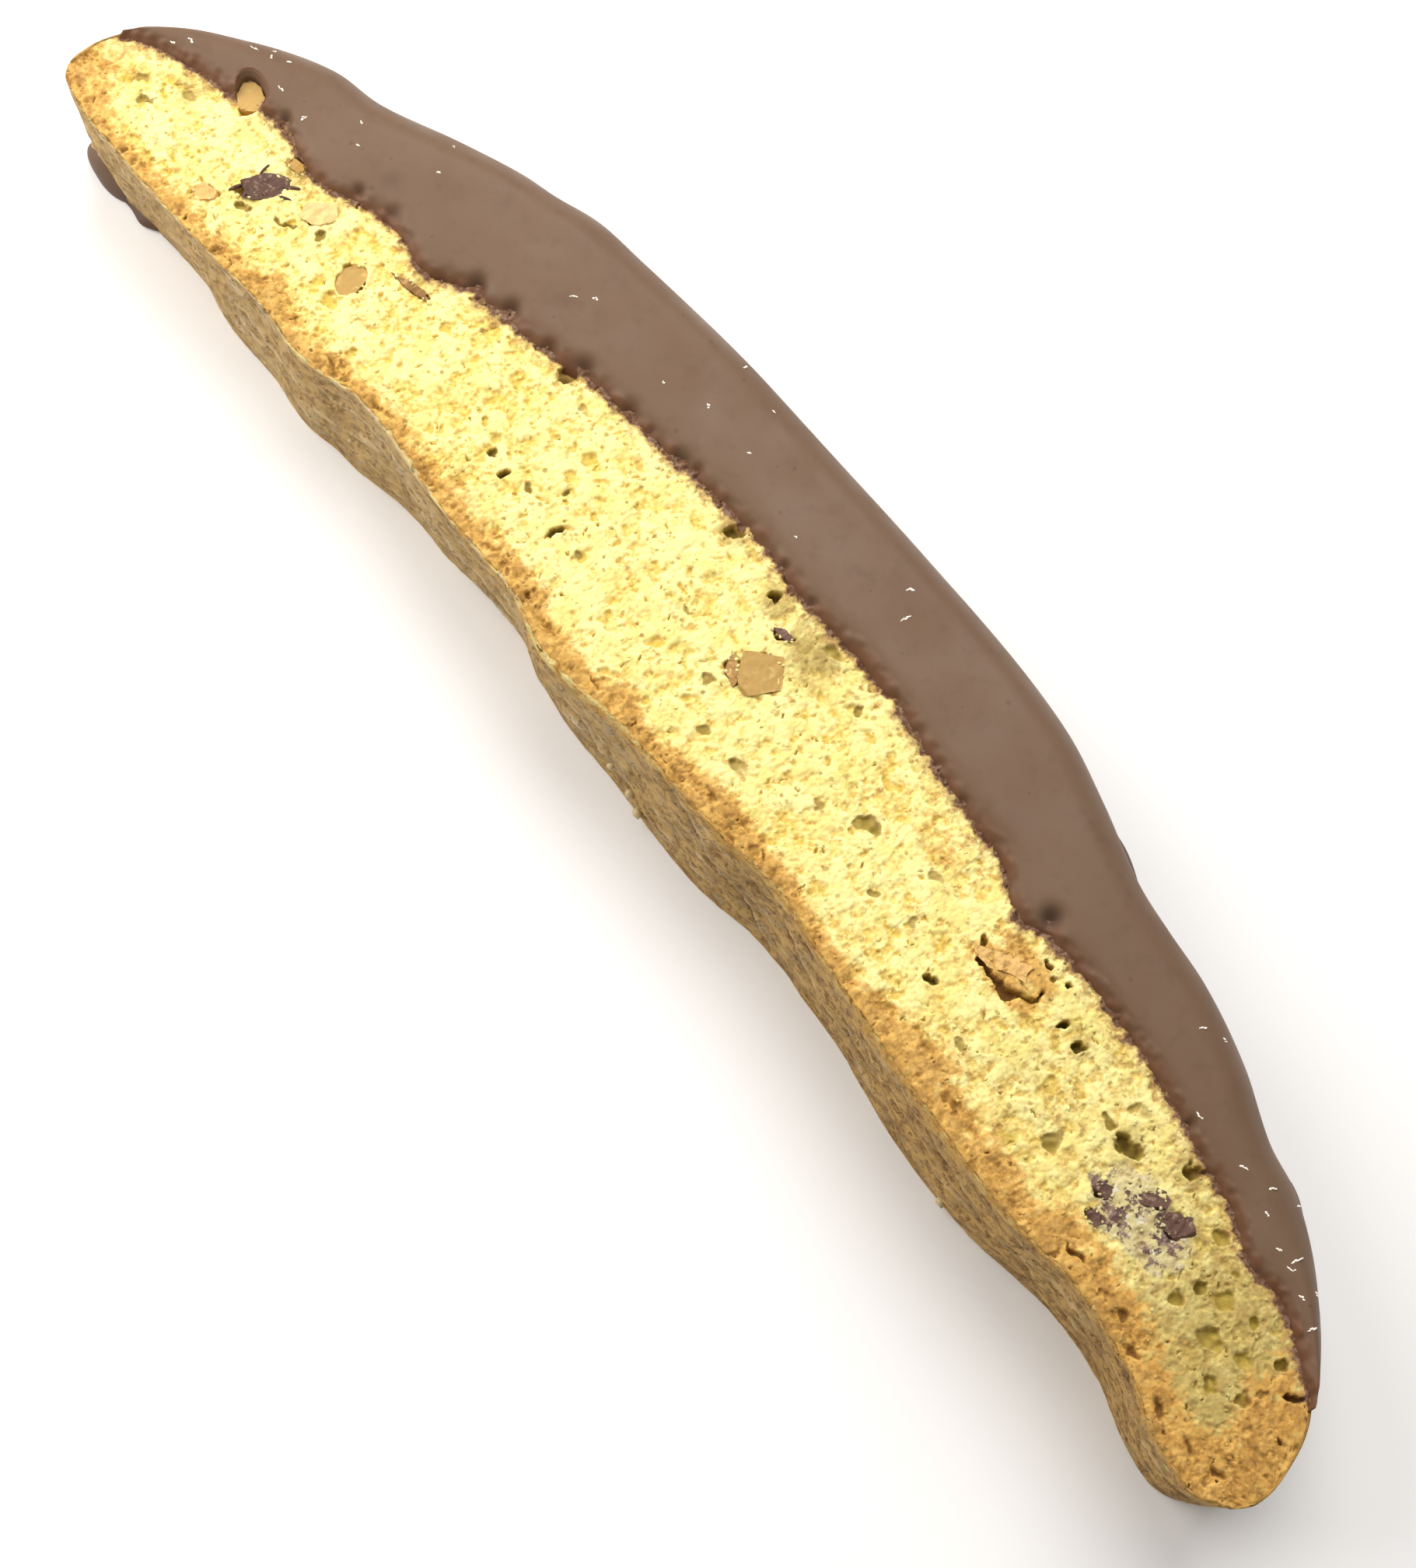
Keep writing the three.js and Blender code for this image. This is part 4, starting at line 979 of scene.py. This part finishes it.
# The gap's rounded wall: share of its radius, height over the crumb.
WINDOW_WALL = [
    (0.0, -2.8), (0.9, -2.8), (0.94, -0.6), (1.0, 0.35), (1.16, 0.85), (1.5, 1.3), (0.0, 1.3),
]
plug = bmesh.new()
window_x, window_y, window_radius = WINDOW
outline = [plug.verts.new((r * window_radius * MM, 0, z * MM)) for r, z in WINDOW_WALL]
rims = [plug.edges.new(pair) for pair in zip(outline[:-1], outline[1:])]
bmesh.ops.spin(
    plug, geom=[*outline, *rims], cent=(0, 0, 0), axis=(0, 0, 1), angle=math.tau, steps=72,
    use_merge=True,
)
bmesh.ops.remove_doubles(plug, verts=plug.verts, dist=1e-7)
bmesh.ops.recalc_face_normals(plug, faces=plug.faces)
for vert in plug.verts:
    vert.co.y *= 0.82
    vert.co.xy *= 1 + 0.05 * math.sin(3 * math.atan2(vert.co.y, vert.co.x) + 1)
bmesh.ops.rotate(plug, verts=plug.verts, matrix=Matrix.Rotation(math.radians(140), 3, "Z"))
bmesh.ops.translate(plug, verts=plug.verts, vec=on_slice(window_x, window_y, THICKNESS))
carve(coat, "window_plug", plug, "DIFFERENCE")

MILK_CHOCOLATE = (0.156, 0.094, 0.057, 1)
MILK_CHOCOLATE_WARM = (0.147, 0.086, 0.051, 1)
MILK_CHOCOLATE_DARK = (0.080, 0.042, 0.025, 1)
THIN_CHOCOLATE = (0.150, 0.062, 0.030, 1)

tree, shader = new_material("milk_chocolate", coat)
where = in_millimetres(tree)
broad = mask(tree, grain(tree, where, 14, 2), 0.35, 0.7)
colour = tint(tree, broad, MILK_CHOCOLATE, MILK_CHOCOLATE_WARM)
cloudy = maths(tree, "MULTIPLY", mask(tree, grain(tree, where, 1.6, 5), 0.5, 0.75), 0.18)
colour = tint(tree, cloudy, colour, MILK_CHOCOLATE_DARK)
# Tiny pits, dipped in the bump below and painted dark as their shade.
shaded_pits = pinhole_mask(tree, where, 1.3, 0.12, 0.16)
colour = tint(tree, maths(tree, "MULTIPLY", shaded_pits, 0.35), colour, MILK_CHOCOLATE_DARK)
sunk, thin, _, _ = baked_marks(tree)
# Painted shade in the dimples where the chocolate sank into a bubble.
colour = tint(tree, maths(tree, "MULTIPLY", sunk, 0.85), colour, MILK_CHOCOLATE_DARK)
colour = tint(tree, maths(tree, "MULTIPLY", thin, 0.75), colour, THIN_CHOCOLATE)
# Painted shade: the lowest few millimetres of the chocolate, round its foot and the tip's bead, are darker.
place = add(tree, "SeparateXYZ", {0: where})
foot_shade = mask(tree, place.outputs["Z"], 4.5, 0.5)
colour = tint(tree, maths(tree, "MULTIPLY", foot_shade, 0.6), colour, MILK_CHOCOLATE_DARK)
feed(tree, shader.inputs["Base Color"], colour)
feed(tree, shader.inputs["Roughness"], mask(tree, grain(tree, where, 5, 4), -0.9, 1.9))
shader.inputs["Specular IOR Level"].default_value = 0.22
height = maths(tree, "ADD", grain(tree, where, 0.9, 4), maths(tree, "MULTIPLY", shaded_pits, -0.6))
bump = add(tree, "Bump", {"Strength": 0.25, "Distance": 0.00006, "Height": height})
feed(tree, shader.inputs["Normal"], bump.outputs[0])

# ---- almonds and dark chocolate in the crumb ------------------------------------------
# Chopped almonds, some still in their brown skin, and dark chocolate that was stirred into
# the dough. Each is a broken, faceted lump, cut flat by the knife with the crumb round it.

KNIFE_PLANE = THICKNESS - 0.15
LUMP_EDGE = 0.25  # longest edge of a finished lump's faces
ALMOND_PALE, ALMOND_BROWN = (0.76, 0.57, 0.24, 1), (0.38, 0.215, 0.045, 1)
ALMOND_STREAK, ALMOND_CUT = (0.50, 0.30, 0.08, 1), (0.66, 0.47, 0.18, 1)
SKIN_PALE, SKIN_BROWN = (0.72, 0.45, 0.16, 1), (0.22, 0.11, 0.04, 1)
SKIN_SCUFF, SKIN_DARK = (0.60, 0.37, 0.14, 1), (0.26, 0.12, 0.03, 1)
DARK_CHOCOLATE, DULL_CHOCOLATE = (0.080, 0.036, 0.022, 1), (0.16, 0.080, 0.058, 1)
CRUMB_DUST = (0.46, 0.34, 0.22, 1)


def broken_lump(name, x, y, length, width, depth, turn, proud, tone, ragged, corners, seed):
    """A ball broken flat on as many sides as it has corners, and cut off by the knife."""
    roll = np.random.default_rng(seed)
    bm = bmesh.new()
    bmesh.ops.create_icosphere(bm, subdivisions=4, radius=0.7)
    for side in range(corners):
        angle = (side + roll.uniform(-0.12, 0.12)) * math.tau / corners
        facing = Vector((math.cos(angle), math.sin(angle), roll.uniform(-0.5, 0.3))).normalized()
        bmesh.ops.bisect_plane(
            bm, geom=[*bm.verts, *bm.edges, *bm.faces], plane_co=facing * roll.uniform(0.38, 0.46),
            plane_no=facing, clear_outer=True,
        )
        bmesh.ops.holes_fill(bm, edges=bm.edges, sides=0)
    bmesh.ops.triangulate(bm, faces=bm.faces)
    bmesh.ops.subdivide_edges(bm, edges=bm.edges, cuts=1, use_grid_fill=True)
    for vert in bm.verts:
        angle = np.array(math.atan2(vert.co.y, vert.co.x))
        height = vert.co.z * 3 + 0 * angle
        nicks = soft_noise(angle * 1.3 + 9, height, seed)
        nicks = nicks + 0.6 * soft_noise(angle * 3.5 + 9, height, seed + 1)
        vert.co.xy *= 1 + ragged * float(nicks)
    bmesh.ops.scale(bm, verts=bm.verts, vec=(length * MM, width * MM, depth * MM))
    bmesh.ops.rotate(bm, verts=bm.verts, matrix=Matrix.Rotation(math.radians(turn), 3, "Z"))
    bmesh.ops.translate(bm, verts=bm.verts, vec=on_slice(x, y, KNIFE_PLANE - depth * 0.25))
    bmesh.ops.bisect_plane(
        bm, geom=[*bm.verts, *bm.edges, *bm.faces], plane_co=on_slice(x, y, KNIFE_PLANE + proud),
        plane_no=(roll.uniform(-0.12, 0.12), roll.uniform(-0.12, 0.12), 1), clear_outer=True,
    )
    bmesh.ops.holes_fill(bm, edges=bm.edges, sides=0)
    for _ in range(4):
        bmesh.ops.triangulate(bm, faces=bm.faces)
        long = [edge for edge in bm.edges if edge.calc_length() > LUMP_EDGE * MM]
        bmesh.ops.subdivide_edges(bm, edges=long, cuts=1)
    bmesh.ops.triangulate(bm, faces=bm.faces)
    spots = np.array([vert.co for vert in bm.verts]) / MM
    relief = soft_noise(spots[:, 0] / 0.8, spots[:, 1] / 0.8, seed)
    relief = relief + 0.7 * soft_noise(spots[:, 0] / 0.35, spots[:, 1] / 0.35, seed)
    roughness = 0.04 + 0.6 * ragged**2
    for vert, out in zip(bm.verts, relief):
        vert.co.z += out * roughness * MM
    if name == "chocolate_chunk":
        for sx, sy, long, wide, way in SPLINTERS:
            size = Matrix.Diagonal((long / 2 * MM, wide / 2 * MM, 0.3 * MM, 1))
            place = Matrix.Translation(on_slice(sx, sy, KNIFE_PLANE - 0.1))
            place = place @ Matrix.Rotation(math.radians(way), 4, "Z") @ size
            bmesh.ops.create_icosphere(bm, subdivisions=2, radius=1, matrix=place)
    layer = bm.verts.layers.float_color.new("bake")
    for vert in bm.verts:
        vert[layer] = (tone, 0, 0, 1)
    bmesh.ops.recalc_face_normals(bm, faces=bm.faces)
    piece = finished_piece(name + "_bit", bm, sharp_angle=math.radians(40))
    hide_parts(name)
    return piece


def dress_almond(piece):
    tree, shader = new_material("almond_flesh", piece)
    tone = baked_marks(tree)[0]
    where = in_millimetres(tree)
    fibres = in_millimetres(tree, (1, 4, 1))
    colour = tint(tree, tone, ALMOND_PALE, ALMOND_BROWN)
    streaks = maths(tree, "MULTIPLY", mask(tree, grain(tree, fibres, 0.5, 4), 0.45, 0.65), 0.5)
    colour = tint(tree, streaks, colour, ALMOND_STREAK)
    pale = maths(tree, "MULTIPLY", mask(tree, grain(tree, where, 1.2, 3), 0.55, 0.7), 0.5)
    colour = tint(tree, pale, colour, ALMOND_CUT)
    feed(tree, shader.inputs["Base Color"], colour)
    shader.inputs["Roughness"].default_value = 0.6
    shader.inputs["Specular IOR Level"].default_value = 0.3
    height = grain(tree, fibres, 0.4, 4)
    bump = add(tree, "Bump", {"Strength": 0.6, "Distance": 0.0001, "Height": height})
    feed(tree, shader.inputs["Normal"], bump.outputs[0])


def dress_almond_skin(piece):
    tree, shader = new_material("almond_skin", piece)
    tone = baked_marks(tree)[0]
    where = in_millimetres(tree)
    colour = tint(tree, tone, SKIN_PALE, SKIN_BROWN)
    scuffed = mask(tree, grain(tree, where, 0.6, 5, 0.65), 0.50, 0.66)
    colour = tint(tree, scuffed, colour, SKIN_SCUFF)
    spotted = mask(tree, grain(tree, where, 0.8, 4, 0.65), 0.62, 0.76)
    colour = tint(tree, spotted, colour, SKIN_DARK)
    feed(tree, shader.inputs["Base Color"], colour)
    shader.inputs["Roughness"].default_value = 0.8
    shader.inputs["Specular IOR Level"].default_value = 0.2
    height = grain(tree, where, 0.6, 5, 0.6)
    bump = add(tree, "Bump", {"Strength": 1.0, "Distance": 0.00025, "Height": height})
    feed(tree, shader.inputs["Normal"], bump.outputs[0])


def dress_dark_chocolate(piece):
    tree, shader = new_material("dark_chocolate", piece)
    tone = baked_marks(tree)[0]
    where = in_millimetres(tree)
    colour = tint(tree, tone, DARK_CHOCOLATE, DULL_CHOCOLATE)
    dusted = mask(tree, grain(tree, where, 0.6, 5, 0.65), 0.55, 0.62)
    colour = tint(tree, maths(tree, "MULTIPLY", dusted, 0.35), colour, CRUMB_DUST)
    feed(tree, shader.inputs["Base Color"], colour)
    shader.inputs["Roughness"].default_value = 0.5
    shader.inputs["Specular IOR Level"].default_value = 0.3
    height = grain(tree, where, 0.7, 5, 0.6)
    bump = add(tree, "Bump", {"Strength": 1.0, "Distance": 0.0003, "Height": height})
    feed(tree, shader.inputs["Normal"], bump.outputs[0])


DRESSES = {
    "almond": dress_almond,
    "almond_skin": dress_almond_skin,
    "dark_chocolate": dress_dark_chocolate,
}
for seed, (name, *sizes, look) in enumerate(INCLUSIONS, 60):
    lump = broken_lump(name, *sizes, seed)
    DRESSES[look](lump)

# ---- loose grains on the crumb --------------------------------------------------------
# Crumbs that the knife left lying on the cut face, still held by the rough crumb.

GRAIN_COUNT = 500
GRAINS_ROUND_LUMP = 7
GRAIN_RADII = (0.10, 0.22)
GRAIN_LOWEST = 0.75  # none lie deeper than this


def add_grain(bm, roll, x, y, z, radius, flat=0.7):
    """One small ragged crumb with its middle at that point of the slice."""
    spin = Matrix.Rotation(roll.uniform(0, math.tau), 4, "Z")
    length = radius * roll.uniform(0.8, 1.4)
    size = Matrix.Diagonal((length * MM, radius * MM, radius * flat * MM, 1))
    place = Matrix.Translation(on_slice(x, y, z)) @ spin @ size
    made = bmesh.ops.create_icosphere(bm, subdivisions=1, radius=1, matrix=place)
    middle = on_slice(x, y, z)
    for vert in made["verts"]:
        vert.co = middle + (vert.co - middle) * roll.uniform(0.6, 1.3)
    return made["verts"]


roll = np.random.default_rng(7)
grain_x = roll.uniform(2, 178, GRAIN_COUNT)
grain_low = base_crust(grain_x) + 0.9 + end_corner(grain_x)
grain_high = np.maximum(chocolate_line(grain_x) - 0.2, grain_low + 0.4)
grain_y = lerp(grain_low, grain_high, roll.random(GRAIN_COUNT))
for _, cx, cy, length, width, _, turn, *_ in INCLUSIONS[1:]:
    way = roll.uniform(0, math.tau, GRAINS_ROUND_LUMP)
    spread = roll.uniform(0.36, 0.56, GRAINS_ROUND_LUMP)
    along, across = np.cos(way) * spread * length, np.sin(way) * spread * width
    cosine, sine = math.cos(math.radians(turn)), math.sin(math.radians(turn))
    grain_x = np.append(grain_x, cx + along * cosine - across * sine)
    grain_y = np.append(grain_y, cy + along * sine + across * cosine)
grain_depth = crumb_depth(grain_x, grain_y)
grain_depth[GRAIN_COUNT:] = np.minimum(grain_depth[GRAIN_COUNT:], 0.15)
grain_marks = paint_crumb(grain_x, grain_y, THICKNESS - grain_depth)
bm = bmesh.new()
layer = bm.verts.layers.float_color.new("bake")
for x, y, depth, marks in zip(grain_x, grain_y, grain_depth, grain_marks):
    if depth > GRAIN_LOWEST:
        continue
    radius = roll.uniform(*GRAIN_RADII)
    for vert in add_grain(bm, roll, x, y, THICKNESS - depth + radius * 0.15, radius):
        vert[layer] = marks
grains = finished_piece("crumb_grains", bm)
dress_crumb(grains)

# ---- crumbs and painted glints on the chocolate, crumbs on the crust ------------------
# A few pale crumbs and glossy nibs that stuck while the chocolate was wet, near white so
# that they also stand as painted highlights for its glints, some flour and crumbs on the
# base crust's wall, and one crumb stuck at its foot.

# Nibs on the chocolate, near-white slivers that are partly painted glints: x, y, length, turn.
COAT_NIBS_AND_GLINTS = [
    (10.5, 17.1, 0.9, 20), (13.7, 18.7, 0.6, 60), (15.8, 16.2, 0.7, 10), (19.8, 15.9, 0.6, 80),
    (4.8, 11.0, 0.5, 40), (5.9, 12.5, 0.7, 0), (12.4, 17.6, 0.6, 110), (11.6, 18.4, 0.5, 60),
    (51.9, 24.4, 0.8, 40), (53.4, 26.0, 0.5, 20), (68.0, 33.0, 0.7, 60), (69.2, 27.2, 0.4, 0),
    (73.6, 32.0, 0.4, 30), (96.1, 29.9, 0.7, 50), (98.1, 27.6, 0.9, 80), (145.7, 22.2, 0.7, 50),
    (147.9, 23.3, 0.5, 20), (151.6, 16.3, 0.6, 0), (157.6, 16.2, 0.6, 30), (160.8, 16.9, 0.6, 60),
    (163.6, 18.0, 0.5, 70), (162.1, 14.9, 0.4, 0), (165.1, 13.5, 0.4, 20), (166.9, 14.0, 0.9, 75),
    (170.3, 13.6, 0.4, 0), (167.2, 13.1, 0.6, 30), (169.6, 12.1, 0.5, 10), (172.2, 10.8, 0.6, 60),
    (23.8, 20.0, 0.3, 0), (25.6, 18.2, 0.3, 0), (33.0, 22.5, 0.35, 30), (75.5, 27.0, 0.3, 0),
    (31.4, 25.8, 0.3, 0), (85.0, 24.8, 0.3, 0), (64.5, 25.3, 0.3, 0),
]
NIB_STRETCH, END_NIB_STRETCH = 1.15, 1.5  # longer near the blunt end, from that x on
NIB_END = 140
# Crumbs on the base crust: x, z, radius.
WALL_CRUMBS = [
    (91.9, 3.2, 0.55), (93.8, 2.0, 0.7), (142.1, 1.2, 0.8), (89.0, 5.1, 0.35), (46.0, 6.0, 0.3),
]
# Near white and cream: painted highlights for the chocolate's glints; tan for the crust's crumbs.
PALE_NIB_GLINT, CREAM_NIB_GLINT = (0.95, 0.92, 0.86, 1), (0.86, 0.78, 0.64, 1)
TAN_CRUMB = (0.55, 0.42, 0.22, 1)

bm = bmesh.new()
layer = bm.verts.layers.float_color.new("bake")
for x, y, length, turn in COAT_NIBS_AND_GLINTS:
    skew = float(dome_skew(np.array(x)))
    outer = float(dome(np.array(x)))
    inwards = y - float(chocolate_line(np.array(x)))
    z = float(coat_height(np.array([x]), np.array([y]), np.array([inwards]))[0])
    reach = min(EDGE_ROUND * skew, (outer - y + inwards) * 0.6)
    over = max(0.0, min(1.0, (y - (outer - reach)) / reach))
    z -= EDGE_ROUND * (1 - math.sqrt(1 - over * over))
    length *= END_NIB_STRETCH if x > NIB_END else NIB_STRETCH
    for k in (-1, 0, 1):
        angle = math.radians(turn)
        offset = k * length * 0.3
        aside = roll.uniform(-0.12, 0.12)
        spot = on_slice(x + offset * math.cos(angle) - aside * math.sin(angle),
                        y + offset * math.sin(angle) + aside * math.cos(angle), z)
        half = (length * roll.uniform(0.16, 0.32) * MM, roll.uniform(0.06, 0.13) * MM, 0.07 * MM, 1)
        spin = Matrix.Rotation(angle + roll.uniform(-0.5, 0.5), 4, "Z")
        place = Matrix.Translation(spot) @ spin @ Matrix.Diagonal(half)
        sliver = bmesh.ops.create_icosphere(bm, subdivisions=2, radius=1, matrix=place)["verts"]
        for vert in sliver:
            vert.co = spot + (vert.co - spot) * roll.uniform(0.65, 1.25)
            vert[layer] = (0, 0, 0, 1)
for x, z, radius in WALL_CRUMBS:
    at, up = np.array([x]), np.array([z])
    rise = z / THICKNESS
    wall = lerp(base_crust(at) + base_lean(at), base_crust(at), rise) - sheet_ridges(at, up)
    wall = float(wall[0])
    for vert in add_grain(bm, roll, x, wall - radius * 0.3, z, radius, 0.9):
        vert[layer] = (1, 0, 0, 1)
nibs_and_glints = finished_piece("stuck_crumbs_and_glints", bm)
tree, shader = new_material("pale_nib_and_glint", nibs_and_glints)
where = in_millimetres(tree)
colour = tint(tree, grain(tree, where, 0.4, 3), PALE_NIB_GLINT, CREAM_NIB_GLINT)
colour = tint(tree, baked_marks(tree)[0], colour, TAN_CRUMB)
feed(tree, shader.inputs["Base Color"], colour)
shader.inputs["Roughness"].default_value = 0.35

# ---- floor, light and camera ----------------------------------------------------------
# A white table top under a broad soft light from behind the dome, with a second one that
# fills the narrow tip's side, and a camera that looks steeply down on the base side.

TABLE_WHITE, TABLE_SHADE = (0.93, 0.93, 0.93, 1), (0.9, 0.9, 0.905, 1)
TABLE_HALF = 3  # metres

floor_mesh = bmesh.new()
bmesh.ops.create_grid(floor_mesh, x_segments=1, y_segments=1, size=TABLE_HALF)
mesh = bpy.data.meshes.new("table_top")
floor_mesh.to_mesh(mesh)
floor_mesh.free()
table_top = bpy.data.objects.new("table_top", mesh)
bpy.context.scene.collection.objects.link(table_top)
tree, shader = new_material("white_table", table_top)
cloudy = grain(tree, in_millimetres(tree), 40, 2)
feed(tree, shader.inputs["Base Color"], tint(tree, cloudy, TABLE_WHITE, TABLE_SHADE))
shader.inputs["Roughness"].default_value = 0.6
shader.inputs["Specular IOR Level"].default_value = 0.2

SKY = (1.0, 0.965, 0.92, 1)
SKY_STRENGTH = 0.38
world = bpy.data.worlds.new("soft_room")
world.use_nodes = True
world.node_tree.nodes["Background"].inputs["Color"].default_value = SKY
world.node_tree.nodes["Background"].inputs["Strength"].default_value = SKY_STRENGTH
bpy.context.scene.world = world


def soft_light(name, spot, target, size, power, colour):
    """A round lamp at spot that faces target."""
    light = bpy.data.lights.new(name, "AREA")
    light.shape = "DISK"
    light.size = size
    light.energy = power
    light.color = colour
    made = bpy.data.objects.new(name, light)
    bpy.context.scene.collection.objects.link(made)
    made.location = spot
    made.rotation_mode = "QUATERNION"
    made.rotation_quaternion = (Vector(target) - Vector(spot)).to_track_quat("-Z", "Y")


soft_light("window_light", (-0.11, 0.19, 0.32), (-0.01, 0, 0), 0.38, 1.52, (1.0, 0.985, 0.965))
soft_light("bright_table_light", (-0.22, -0.12, 0.17), (-0.05, 0, 0), 0.3, 0.80, (1.0, 0.97, 0.93))

CAMERA_SPOT = Vector((0.04740, -0.07003, 0.24886))
CAMERA_TARGET = Vector((0.00707, -0.01119, 0.0080))
CAMERA_UP = Vector((-0.7423, 0.6116, 0.2737))
CAMERA_LENS = 65.24
camera = bpy.data.objects.new("camera", bpy.data.cameras.new("camera"))
bpy.context.scene.collection.objects.link(camera)
ahead = (CAMERA_TARGET - CAMERA_SPOT).normalized()
right = ahead.cross(CAMERA_UP).normalized()
turned = Matrix((right, right.cross(ahead), -ahead)).transposed().to_4x4()
camera.matrix_world = Matrix.Translation(CAMERA_SPOT) @ turned
camera.data.sensor_fit = "HORIZONTAL"
camera.data.sensor_width = 36
camera.data.lens = CAMERA_LENS
camera.data.clip_start = 0.01
bpy.context.scene.camera = camera
bpy.context.scene.view_settings.view_transform = "Standard"
